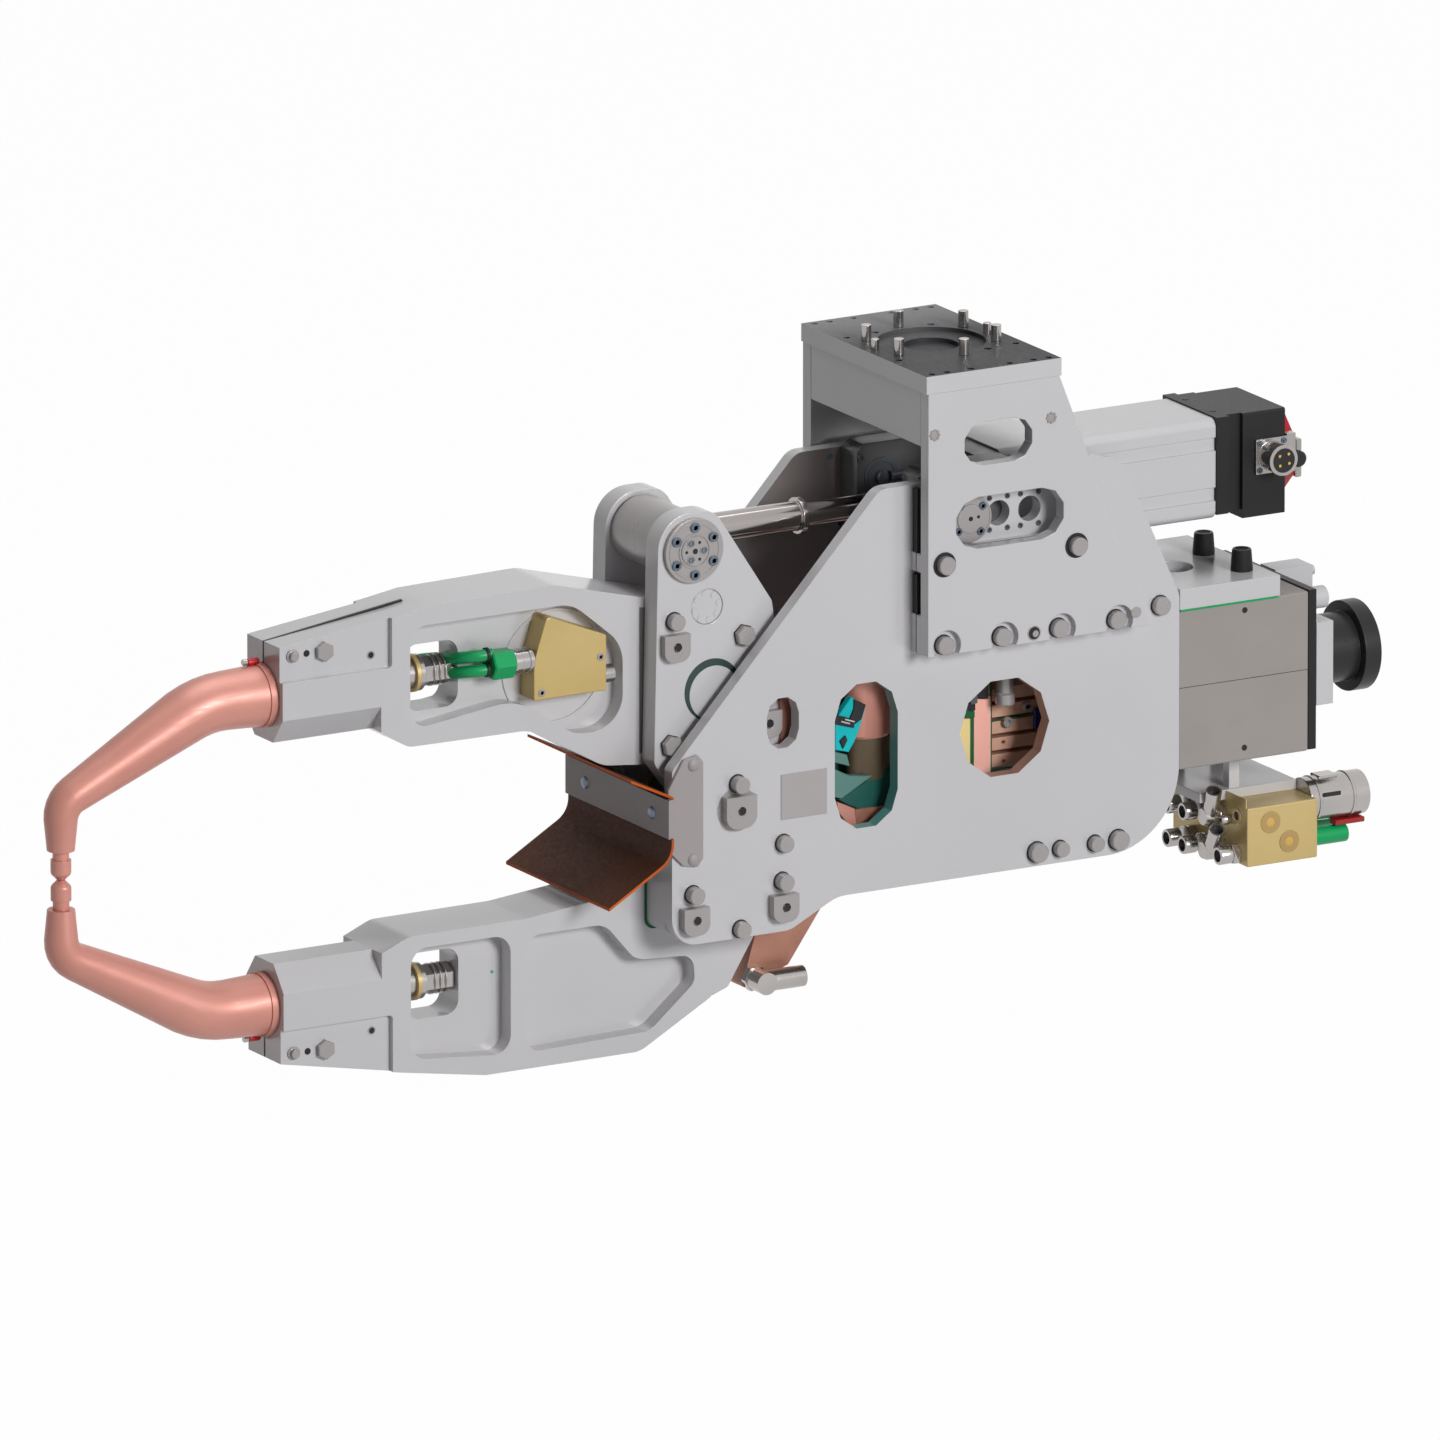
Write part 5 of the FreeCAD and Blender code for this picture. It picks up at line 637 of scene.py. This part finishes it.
def clamp_detail(word, body, way):
    """Clamp screws, set holes and the red sealing screw at an electrode's root."""
    centre_z = -407.0
    heads, holes = blank(2)
    for side, out in SIDES:
        face = side * 31.5
        six_sided(heads, 9.9, 5.5, (-690, face, centre_z + way * 197), out, 2)
        turned(heads, ((0, 0), (6.6, 0), (6.6, 1.6), (4.6, 1.9), (4.6, 5.2), (3.9, 5.9), (0, 5.9)),
               (-724, face, centre_z + way * 196.5), out, 28)
        button(holes, 3.3, 0.5, (-708.5, face, centre_z + way * 197), out, 0.1, 24)
        ring(heads, 4.3, 3.0, 0.4, (-638, face, centre_z + way * 186), out, 0.1, 24)
        button(holes, 3.0, 0.3, (-638, face, centre_z + way * 186), out, 0.1, 24)
    piece(word + "_clamp_screws", heads, body, "steel")
    mirror = 2 * centre_z if way < 0 else 0.0
    slit = ((-737.6, -200.9), (-586.5, -179.8), (-586.5, -192), (-737.6, -212))
    plate(holes, [(x, mirror + way * z) for x, z in slit], -1.45, 1.45, 0)
    piece(word + "_clamp_holes", holes, body, "steel", PAINTED_RECESS_SHADE)
    root = centre_z + way * 153
    top = root + way * 30.5
    piece(word + "_seal_screw",
          alone(turned, ((0, 0), (3.4, 0), (3.6, 1), (3.6, 11), (2.8, 12), (0, 12)),
                (-754, 3, top + way * 2.6), "+X", 24), body, "red_cap")
    piece(word + "_seal_nut",
          alone(turned, ((0, 0), (2.6, 0), (3.2, 0.8), (3.2, 4.6), (2.2, 5.2), (0, 5.2)),
                (-759.5, 3, top + way * 3.0), "+X", 20), body, "nickel")
    piece(word + "_root_collar", alone(ring, 31.4, 30.2, 7.0, (-746, 0, root), "+X", 0.4, 64), body, "copper")
    piece(word + "_inlet_ring", alone(ring, 18.6, 15.2, 4.6, (-578.4, 0, root), "+X", 0.5, 48), body,
          "bronze")
    ribs = bmesh.new()
    for x in (-558, -552, -546):
        ring(ribs, 15.4, 12.5, 1.6, (x, 0, root), "+X", 0.4, 40)
    piece(word + "_inlet_ribs", ribs, body, "nickel")


def bent_hose(bm, radius, path):
    """A round hose whose section is drawn through the points of a path."""
    points = [Vector(p) for p in path]
    known = set(bm.verts)
    way = (points[1] - points[0]).normalized()
    loop = bmesh.ops.create_circle(bm, cap_ends=False, segments=20, radius=radius,
                                   matrix=Matrix.Translation(points[0]) @ turn_to(way))["verts"]
    edges = edges_of(loop)
    bmesh.ops.contextual_create(bm, geom=edges)
    for i, (start, end) in enumerate(zip(points, points[1:])):
        after = points[min(i + 2, len(points) - 1)]
        turn_way = ((end - start).normalized() + (after - end).normalized()).normalized()
        made = bmesh.ops.extrude_edge_only(bm, edges=edges)["geom"]
        edges = only(BMEdge, made)
        swing = way.rotation_difference(turn_way).to_matrix().to_4x4()
        bmesh.ops.transform(bm, matrix=Matrix.Translation(end) @ swing @ Matrix.Translation(-start),
                            verts=only(BMVert, made))
        way = turn_way
    bmesh.ops.contextual_create(bm, geom=edges)
    settle(bm, known, TO_METRES)


def arm_manifold_detail():
    screws = bmesh.new()
    for x, z in ((-392.7, -252.3), (-457.6, -279.4)):
        socket_head(screws, 3.8, 0.9, (x, -45, z), "-Y")
    piece("manifold_screws_of_arm", screws, "lever", "steel")
    piece("arm_boss_ring", alone(ring, 57.0, 54.2, 1.6, (-430, -18.4, -262), "-Y", 0.4, 72), "lever",
          "machined")
    nuts = bmesh.new()
    for x, radius in ((-468.5, 12.6), (-476, 12.0), (-485, 12.6)):
        ring(nuts, radius, 10.8, 2.4, (x, ARM_HOSE_Y, -247), "-X", 0.4, 32)
    piece("hose_socket_rings", nuts, "lever", "nickel")
    gaps = bmesh.new()
    for z in (-236, -251):
        ring(gaps, 7.2, 5.9, 3.0, (-512.5, ARM_HOSE_Y, z), "-X", 0.4, 24)
    ring(gaps, 10.9, 9.0, 1.2, (-487.2, ARM_HOSE_Y, -247), "-X", 0.2, 32)
    piece("hose_collars", gaps, "lever", "black_plastic")
    hoses = bmesh.new()
    for z in (-236.5, -251.0):
        bent_hose(hoses, 5.9,
                  ((-508, ARM_HOSE_Y, z), (-522, -36, z), (-530, -31, z - 1), (-535.5, -19, z - 4),
                   (-538, -3, z - 7.5), (-541, 12, z - 10.5), (-548, 21, z - 12.5), (-560, 24, z - 13),
                   (-574, 24, z - 13)))
    six_sided(hoses, 15.2, 23.0, (-488, ARM_HOSE_Y, -247), "-X", 0, 1.4)
    piece("arm_hose_pair", hoses, "lever", SLOT_OF["arm_hose"], FINISH["green_plastic"], ("arm_hose",))
    piece("lower_arm_mark", alone(button, 1.6, 0.4, (-498, -18.6, -557), "-Y", 0.1, 16), "frame",
          "insulation")


hinge_detail()
clamp_detail("upper", "lever", 1)
clamp_detail("lower", "frame", -1)
arm_manifold_detail()


# Fine detail of the side plates and the console

def plate_detail():
    discs, screws, holes, marks = blank(4)
    for side, out in SIDES:
        face = side * 94
        x0, z0 = TRUNNION_X, DRIVE_HEIGHT
        button(discs, 14.5, 0.9, (x0, face, z0), out, 0.4, 36)
        ring(discs, 22.6, 21.4, 0.5, (x0, face, z0), out, 0.1, 48)
        for dx, dz in around(4, 17.5, 40):
            socket_head(screws, 4.0, 1.6, (x0 + dx, face, z0 + dz), out)
        button(holes, 2.3, 1.3, (x0, face, z0), out, 0.1, 20)
        button(holes, 1.6, 1.3, (x0 + 8.5, face, z0 + 1), out, 0.1, 16)
        for x in (23.6, 58.2):
            for dx in (10, -10):
                for dz in (15.7, -15.7):
                    ring(screws, 2.9, 2.1, 0.5, (x + dx, side * PLATE_FACE, z0 + dz), out, 0.1, 20)
        face = side * CONSOLE_FACE
        for x, z in ((-66, -58.5), (63.6, -58.0)):
            button(marks, 5.4, 0.5, (x, face, z), out, 0.1, 24)
            for dx, dz in around(8, 4.6):
                turned(marks, ((0, 0), (1.5, 0), (1.3, 1.3), (0, 1.3)), (x + dx, face, z + dz), out, 10)
        button(holes, 6.2, 0.4, (45, face, -269.6), out, 0.1, 28)
        ring(discs, 7.4, 6.2, 0.6, (45, face, -269.6), out, 0.2, 32)
        button(discs, 3.4, 0.9, (46.5, face, -270.4), out, 0.3, 28)
        button(screws, 3.2, 0.6, (-70, side * 73, -122.6), OUTWARDS[-side], 0.1, 20)
        button(marks, 5.6, 0.7, (159, face, -264), out, 0.3, 28)
    piece("trunnion_faces", discs, "frame", "steel")
    piece("trunnion_screws", screws, "frame", "steel", SCREW_TEAL)
    piece("plate_holes", holes, "frame", "steel", PAINTED_RECESS_SHADE)
    piece("console_plugs", marks, "frame", "steel")
    # Painted shade: black bars stand in for the dark gaps beside the console.
    gaps = bmesh.new()
    for side in (NEAR, FAR):
        for low, high in ((-183, -117), (-242, -202)):
            bar(gaps, (-72, side * 88.2, low), (-66, side * 96.8, high), 0.2)
    piece("console_gap_painted_shade", gaps, "frame", "black_plastic")
    label = ((-218, -428), (-167, -428), (-167, -383), (-218, -383))
    piece("blank_label", alone(plate, label, -88.9, -87.9, 0.3), "frame", "machined", LABEL)
    front_screws = bmesh.new()
    for y in (61.5, -67.3):
        turned(front_screws, ((0, 0), (6.5, 0), (6.2, 0.8), (4.2, 2.4), (0, 2.8)),
               (-349, y, -407.8), "-X", 28)
    piece("guard_strip_screws", front_screws, "frame", "guard_grey", PALE_BLUE)
    flanges = bmesh.new()
    for side, out in SIDES:
        plate(flanges, ((-345, -381), (-328, -353), (-312, -350), (-306, -357), (-306, -453), (-312, -461),
                        (-328, -458), (-345, -441)), side * PLATE_FACE, side * 92, 0.5)
        for z in (-359, -453):
            turned(flanges, ((0, 0), (6.4, 0), (6.0, 1.0), (4.0, 2.4), (0, 2.8)),
                   (-317, side * 92, z), out, 28)
    piece("guard_flanges", flanges, "frame", "guard_grey")


def manifold_ports():
    """The water ports on the front face of the manifold: straight ones, two elbows and one left open."""
    front = 305
    metal, rims, mouths = blank(3)
    for y in (-66, -40, -14, 16):
        for z in (-503.5, -537):
            if (y, z) == (-66, -503.5):
                ring(rims, 8.0, 4.4, 1.0, (front, y, z + 4), "-X", 0.3, 36)
                button(mouths, 4.3, 0.5, (front, y, z + 4), "-X", 0.1, 28)
                turned(metal, ((0, 0), (4.5, 0), (5.5, 4), (5.5, 7), (3.5, 11), (0, 11)),
                       (front, y + 13, z - 2), "-X", 24)
                continue
            six_sided(metal, 10.6, 8.0, (front, y, z), "-X", 10)
            turned(metal, ((0, 0), (7.6, 0), (7.6, 12), (0, 12)), (front, y, z), "-X", 28)
            if y == -40:
                turned(metal, ((0, 0), (8.5, 0), (10.0, 3), (10.0, 13), (8.0, 17), (0, 17)),
                       (front - 7, y, z), "-X", 32)
                way = (-4, -16, 34.8) if z > -520 else (-4, -22, 30)
                bend = (front - 16, y, z - 5)
                turned(metal, ((0, 0), (6.6, 0), (6.6, 16), (7.9, 17), (7.9, 38), (5.9, 38), (5.9, 30),
                               (0, 30)), bend, way, 32)
                end = Vector(bend) + Vector(way).normalized() * 30.2
                button(mouths, 5.8, 0.4, end, way, 0.1, 28)
                continue
            reach = 9 if y == -66 else 18
            ring(metal, 9.6, 7.8, 3.0, (front - reach + 9, y, z), "-X", 0.4, 36)
            turned(metal, ((0, 0), (9.0, 0), (9.0, 12), (8.4, 13), (6.2, 13), (6.2, 8), (0, 8)),
                   (front - reach, y, z), "-X", 32)
            button(mouths, 6.1, 0.4, (front - reach - 8.2, y, z), "-X", 0.1, 28)
    piece("manifold_ports", metal, "frame", SLOT_OF["manifold_fittings"], FINISH["nickel"],
          ("manifold_fittings",))
    piece("manifold_port_rims", rims, "frame", "bronze")
    piece("manifold_port_mouths", mouths, "frame", "steel", PAINTED_RECESS_SHADE)


def transformer_detail():
    holes = bmesh.new()
    for z in (-288.5, -426):
        button(holes, 3.0, 0.4, (301, -86, z), "-Y", 0.1, 24)
    bar(holes, (227.5, -86.25, -357.4), (372.5, -85.9, -356.9), 0.05)
    piece("transformer_marks", holes, "frame", "steel", PAINTED_RECESS_SHADE)
    tops = bmesh.new()
    for y in (-53, 19):
        ring(tops, 9.0, 6.4, 0.9, (317, y, -237.2), "+Z", 0.3, 32)
    piece("buffer_rims", tops, "frame", "black_plastic")
    piece("cover_sheet", alone(bar, (228, -88.3, -280.4), (338, -86.0, -278.4), 0.2),
          "frame", "green_plastic")
    plugs, cores = blank(2)
    for x, z in ((330.8, -504.7), (352.0, -526.5)):
        ring(plugs, 11.0, 4.4, 0.9, (x, -86, z), "-Y", 0.4, 40)
        turned(cores, ((0, 0), (4.6, 0), (4.6, 0.5), (2.0, 0.9), (0, 0.9)), (x, -86, z), "-Y", 24)
    piece("manifold_plugs", plugs, "frame", "bronze", DULL_BRONZE)
    piece("manifold_plug_cores", cores, "frame", "bronze", ORANGE_CORE)
    coupling = bmesh.new()
    for x in (393, 431):
        ring(coupling, 22.9, 21.6, 3.0, (x, -54, -497), "+X", 0.6, 48)
    bar(coupling, (400, -62, -477), (421, -44, -474), 0.8)
    piece("coupling_rings", coupling, "frame", "nickel")
    manifold_ports()
    piece("manifold_top_strip", alone(bar, (304.2, -84, -488.6), (305.4, 54, -479), 0.2), "frame", "bronze")
    piece("coupling_flag", alone(bar, (415, -68, -524), (448, -56, -519), 0.6), "frame", "red_cap", RED_DOT)
    # Painted shade: a black bar stands in for the shade in the coupling's slot.
    piece("coupling_slot_painted_shade", alone(bar, (397, -76.6, -491), (416, -74.8, -487), 0.3), "frame", "black_plastic")


def connector_detail():
    """The signal socket of the servo and the bolts of the power socket."""
    x, z = 350.5, -148
    screws = bmesh.new()
    for dx in (-13.5, 13.5):
        for dz in (-13.5, 13.5):
            socket_head(screws, 3.0, 1.2, (x + dx, -53, z + dz), "-Y")
    piece("signal_socket_screws", screws, "actuator", "steel", SCREW_TEAL)
    piece("signal_socket_ring", alone(ring, 15.6, 12.4, 3.5, (x, -72.6, z), "-Y", 0.6, 40),
          "actuator", "nickel")
    piece("signal_socket_floor", alone(button, 12.2, 0.4, (x, -75.7, z), "-Y", 0.1, 36),
          "actuator", "black_plastic")
    pins = bmesh.new()
    for dx, dz in ((-5.4, 5.0), (4.6, 6.2), (-5.0, -4.6), (5.2, -3.2)):
        turned(pins, ((0, 0), (1.5, 0), (1.5, 1.6), (0.8, 2.2), (0, 2.2)), (x + dx, -75.9, z + dz), "-Y", 16)
    piece("signal_pins", pins, "actuator", "nickel", GOLD)
    bolts = bmesh.new()
    for dy, dz in ((-34, 0), (34, 0), (0, 34), (0, -34)):
        socket_head(bolts, 3.6, 2.2, (455.6, -38 + dy, -353.5 + dz), "+X")
    piece("power_socket_bolts", bolts, "frame", "steel")
    cover = bmesh.new()
    for y in (-26, 26):
        button(cover, 3.2, 0.4, (300, y, -103), "+Z", 0.1, 20)
    piece("cover_holes", cover, "actuator", "steel", PAINTED_RECESS_SHADE)
    piece("brake_plate", alone(bar, (384, -42, -177), (391, -26, -139), 1.0), "actuator", "nickel")
    piece("brake_boss", alone(button, 8.0, 5.0, (386, -42, -158), "-Y", 1.5, 32), "actuator", "black_plastic")
    yoke = bmesh.new()
    for side in (NEAR, FAR):
        plate(yoke, ((-58, -200), (-52, -204.5), (48, -204.5), (48, -106.5), (-50, -106.5), (-58, -113)),
              side * 44, side * 72.5, 1.2)
    for low, high in (((22, -45, -204.5), (48, 45, -176.5)), ((22, -45, -134.5), (48, 45, -106.5)),
                      ((22, -45, -176.5), (48, -21, -134.5)), ((22, 21, -176.5), (48, 45, -134.5))):
        bar(yoke, low, high, 0)
    ring(yoke, 30.0, 19.0, 25.8, (22.1, 0, -155.5), "+X", 0.2, 48)
    piece("yoke_cheeks", yoke, "actuator", SLOT_OF["actuator_yoke"], YOKE_GREY_PAINTED_SHADE, ("actuator_yoke",))
    gland, tips = blank(2)
    for side in (NEAR, FAR):
        out = OUTWARDS[-side]
        face = side * 44
        button(gland, 18.5, 2.4, (-30.4, face, -139.8), out, 0.6, 48)
        ring(gland, 15.0, 13.9, 3.2, (-30.4, face, -139.8), out, 0.2, 40)
        button(gland, 6.4, 9.0, (-32.0, face, -139.8), out, 1.2, 32)
        socket_head(gland, 4.0, 2.5, (-53, face, -119.3), out)
        button(gland, 4.4, 26.0, (-24, side * 37.5, -139.2), "+X", 0.5, 24)
        button(tips, 4.8, 9.0, (2, side * 37.5, -139.2), "+X", 0.5, 24)
    piece("yoke_gland", gland, "actuator", "steel", GREY_BLUE)
    piece("yoke_tips", tips, "actuator", "green_plastic")


plate_detail()
transformer_detail()
connector_detail()


# The laminated shunt and what the windows show

def shunt_sheet(bm, offset, thick):
    """One leaf of the shunt: down at the left, across, and up at the right."""
    left, right, top, bottom, bend, half = -176.0, 8.0, -308.0, -375.0, 58.0, 29.0
    outer = left + offset
    inner = outer + thick
    corners = ((outer, -half), (inner, -half), (inner, half), (outer, half))
    face = bm.faces.new([bm.verts.new((x, y, top)) for x, y in corners])

    def push(face, vec):
        made = bmesh.ops.extrude_face_region(bm, geom=[face])["geom"]
        bmesh.ops.translate(bm, verts=only(BMVert, made), vec=vec)
        bm.faces.remove(face)
        return only(BMFace, made)[0]

    def bend_round(face, centre):
        made = bmesh.ops.spin(bm, geom=[face], cent=centre, axis=(0, 1, 0), dvec=(0, 0, 0),
                              angle=-math.pi / 2, steps=8, use_merge=False, use_duplicate=False)["geom_last"]
        return only(BMFace, made)[0]

    face = push(face, (0, 0, bottom + bend - top))
    face = bend_round(face, (left + bend, 0, bottom + bend))
    face = push(face, (right - left - 2 * bend, 0, 0))
    face = bend_round(face, (right - bend, 0, bottom + bend))
    push(face, (0, 0, top - bottom - bend - 4))


def make_shunt():
    bm = bmesh.new()
    sheets, pitch, thick = 8, 1.5, 1.15
    for i in range(sheets):
        shunt_sheet(bm, 0.1 + i * pitch, thick)
    bmesh.ops.recalc_face_normals(bm, faces=bm.faces)
    bmesh.ops.scale(bm, vec=(MM, MM, MM), verts=bm.verts)
    shunt = piece("shunt_sheets", bm, None, SLOT_OF["laminated_shunt"], FINISH["copper"],
                  ("laminated_shunt",), sharp=30)
    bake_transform(shunt)


def oval_drum(bm, centre, low, high, half_width, half_depth):
    """An upright drum of oval section, whose lower rim is rounded."""
    made = turned(bm, ((0, 0), (0.86, 0), (1.0, 3), (1.0, high - low), (0, high - low)), (0, 0, 0), "+Z", 48)
    bmesh.ops.scale(bm, vec=(half_width, half_depth, 1), verts=made)
    bmesh.ops.translate(bm, vec=(centre[0] * MM, centre[1] * MM, low * MM), verts=made)


def window_detail():
    heads = bmesh.new()
    for x, z, radius in ((87.8, -368.3, 4.6), (66.3, -381.0, 5.2)):
        socket_head(heads, radius, 4.0, (x, -32, z), "-Y")
    turned(heads, ((0, 0), (8.6, 0), (9.6, 1.2), (9.6, 11), (8.2, 12.5), (8.2, 46), (0, 46)),
           (56, -46, -359), "+Z", 32)
    piece("terminal_bolts", heads, "frame", "steel")
    lines = bmesh.new()
    bar(lines, (48.1, -32.8, -430), (49.4, -31, -340), 0.1)
    for strip in (((13.7, -363.4), (29.9, -365.6), (29.9, -371.8), (13.7, -369.6)),
                  ((25.1, -371.1), (28.4, -371.6), (28.4, -420.3), (25.1, -419.9))):
        plate(lines, strip, -33.2, -31.8, 0.1)
    for height in (-378.0, -427.0):
        bar(lines, (49.4, -32.8, height - 0.5), (100, -31, height + 0.5), 0.1)
    piece("terminal_insulation", lines, "frame", "insulation", GREEN_SHEET)
    marks = bmesh.new()
    for z in (-400.7, -419.6):
        button(marks, 1.5, 0.5, (63.3, -32, z), "-Y", 0.1, 14)
    piece("terminal_marks", marks, "frame", "copper", RED_DOT)
    piece("terminal_seal", alone(bar, (95, -36, -392), (105, -32.2, -371), 1.2), "frame", "black_plastic",
          SILICONE)
    column = bmesh.new()
    oval_drum(column, (-98, -48), -369.5, -306, 25.0, 14.5)
    plate(column, ((-140.5, -426.2), (-120.5, -435.6), (-118.4, -453.3), (-128.0, -450.2), (-139.9, -435.7)),
          -62, -50, 0.6)
    piece("terminal_column", column, "frame", "copper", COLUMN_COPPER)
    piece("terminal_face", alone(bar, (29.3, -32.7, -429), (48.0, -31.9, -353), 0.1), "frame", "copper",
          COPPER_PAINTED_LIGHT)
    pad = ((6.6, -369.7), (24.2, -372.1), (24.2, -420.9), (16.7, -419.9), (6.6, -402.4))
    piece("terminal_pad", alone(plate, pad, -34.4, -32.2, 0.2), "frame", "insulation", TAN_PAINTED_LIGHT)
    cap = ((19.4, -328.9), (43.9, -332.2), (43.9, -354.7), (29.3, -352.7), (29.3, -364.2), (19.4, -362.9))
    piece("terminal_cap", alone(plate, cap, -35.4, -32.2, 0.2), "frame", "black_plastic")
    tab = ((22.8, -348.7), (30.5, -348.1), (30.5, -356.7), (22.8, -357.3))
    piece("terminal_tab", alone(plate, tab, -37.4, -35.2, 0.3), "frame", "steel", GREY_BLUE)
    block = ((-120.2, -437.0), (-83.2, -438.0), (-97.5, -454.8), (-115.4, -457.7), (-118.4, -453.3))
    piece("terminal_block", alone(plate, block, -61, -50, 0.6), "frame", "copper", FINISH["busbar_copper"])
    # The drum's dark brown is painted shade under the shunt.
    drum = bmesh.new()
    oval_drum(drum, (-96, -46), -413, -369.5, 24.0, 13.0)
    piece("shunt_support", drum, "frame", "busbar_copper", BROWN_DRUM_PAINTED_SHADE)
    piece("shunt_backing",
          plates((((-135.1, -311.8), (-45.5, -323.8), (-45.5, -484.6), (-135.1, -472.5)), -31.6, -30.2, 0),
                 (((-136.7, -425.6), (-96.4, -407.4), (-69.5, -400.3), (-69.5, -440.5), (-111.3, -438.9),
                   (-126.2, -432.1)), -58, -40, 0.6)), "frame", "insulation", DARK_GREEN)
    piece("shunt_wedge",
          plates((((-142.9, -393.5), (-125.0, -402.9), (-99.6, -406.3), (-134.0, -424.7), (-142.9, -421.9)),
                  -60, -52, 0.6),
                 (((-142.9, -376.4), (-128.0, -381.6), (-125.0, -393.5), (-142.9, -387.1)), -60, -56, 0.4)),
          "frame", "insulation", GREY_GREEN)
    valve = ((-126.7, -322.9), (-111.2, -337.0), (-116.6, -352.4), (-123.1, -367.6), (-129.7, -377.4),
             (-144.7, -373.3), (-144.7, -343.3))
    piece("valve_body", alone(plate, valve, -66, -58, 0.6), "frame", "insulation", TURQUOISE)
    piece("valve_block",
          plates((((-124.5, -325.0), (-111.7, -332.0), (-116.5, -346.1), (-123.7, -350.0), (-129.6, -343.8),
                   (-124.8, -334.3)), -68, -62, 0.4),
                 (((-147.0, -337.2), (-132.0, -342.4), (-123.7, -346.8), (-124.8, -353.6),
                   (-147.0, -346.6)), -68, -62, 0.4),
                 (((-140.4, -364.4), (-134.4, -359.8), (-132.0, -364.4), (-136.8, -372.9)), -68, -62, 0.2)),
          "frame", "black_plastic")
    piece("valve_ties",
          plates((((-135.6, -342.6), (-124.8, -346.4), (-124.8, -347.8), (-135.6, -343.9)), -69, -67, 0),
                 (((-139.7, -344.2), (-130.2, -347.6), (-130.2, -348.9), (-139.7, -345.5)), -69, -67, 0)),
          "frame", "nickel", FINISH["machined"])
    foot = ((-206.8, -314.6), (-193.0, -315.7), (-191.8, -352.8), (-198.4, -361.6), (-206.2, -358.9),
            (-203.8, -340.5))
    piece("root_terminal", alone(plate, foot, -66, -62, 0.6), "lever", "copper", FINISH["busbar_copper"])
    spacer = ((-220.6, -309.7), (-177.3, -315.5), (-177.3, -371.8), (-220.6, -365.9))
    piece("root_spacer", alone(plate, spacer, -61.5, -58, 0), "lever", "machined")
    piece("root_spacer_hole", alone(button, 3.4, 0.6, (-215.5, -61.5, -338.8), "-Y", 0.05, 20), "lever",
          "steel", PAINTED_RECESS_SHADE)


make_shunt()
window_detail()


# Light, floor and background

def seen_directly(tree):
    """1 for what the camera sees, also in metal and through glass, and 0 for light on the object."""
    rays = add_node(tree, "LightPath").outputs
    seen = rays["Is Camera Ray"]
    for other in ("Is Glossy Ray", "Is Transmission Ray"):
        seen = add_node(tree, "Math", {0: seen, 1: rays[other]}, operation="MAXIMUM").outputs[0]
    return seen


def add_stage():
    floor_height = -0.672
    bm = bmesh.new()
    bmesh.ops.create_circle(bm, cap_ends=True, segments=96, radius=30.0,
                            matrix=Matrix.Translation((-0.25, 0, floor_height)))
    mesh = bpy.data.meshes.new("floor")
    bm.to_mesh(mesh)
    bm.free()
    floor = new_object("floor", mesh)
    material = bpy.data.materials.new("white_floor")
    material.use_nodes = True
    tree = material.node_tree
    tree.nodes.clear()
    paint = add_node(tree, "BsdfDiffuse", {"Color": (0.55, 0.55, 0.55, 1)}).outputs[0]
    glow = add_node(tree, "Emission", {"Color": (1, 1, 1, 1), "Strength": 1.0}).outputs[0]
    share = add_node(tree, "Math", {0: seen_directly(tree), 1: 0.985}, operation="MULTIPLY").outputs[0]
    mix = add_node(tree, "MixShader", {0: share, 1: paint, 2: glow}).outputs[0]
    add_node(tree, "OutputMaterial", {"Surface": mix})
    mesh.materials.append(material)


def add_world():
    world = bpy.data.worlds.new("studio")
    bpy.context.scene.world = world
    world.use_nodes = True
    tree = world.node_tree
    tree.nodes.clear()
    white = add_node(tree, "Background", {"Color": (1, 1, 1, 1)}).outputs[0]
    ambient = add_node(tree, "Background", {"Color": (1, 1, 1, 1), "Strength": 0.05}).outputs[0]
    mix = add_node(tree, "MixShader", {0: seen_directly(tree), 1: ambient, 2: white}).outputs[0]
    add_node(tree, "OutputWorld", {"Surface": mix})


def add_lamp(name, place, power, size):
    data = bpy.data.lights.new(name, "AREA")
    data.energy = power
    data.size = size
    lamp = new_object(name, data)
    aim = Vector((-0.25, 0.0, -0.33))
    lamp.location = place
    lamp.rotation_euler = (Vector(place) - aim).to_track_quat("Z", "Y").to_euler()


add_stage()
add_world()
add_lamp("key_from_the_front", (1.0, -7.0, 2.2), 390.0, 2.2)
add_lamp("soft_top", (-0.1, 0.2, 2.4), 34.0, 2.0)
bpy.context.scene.view_settings.view_transform = "Standard"
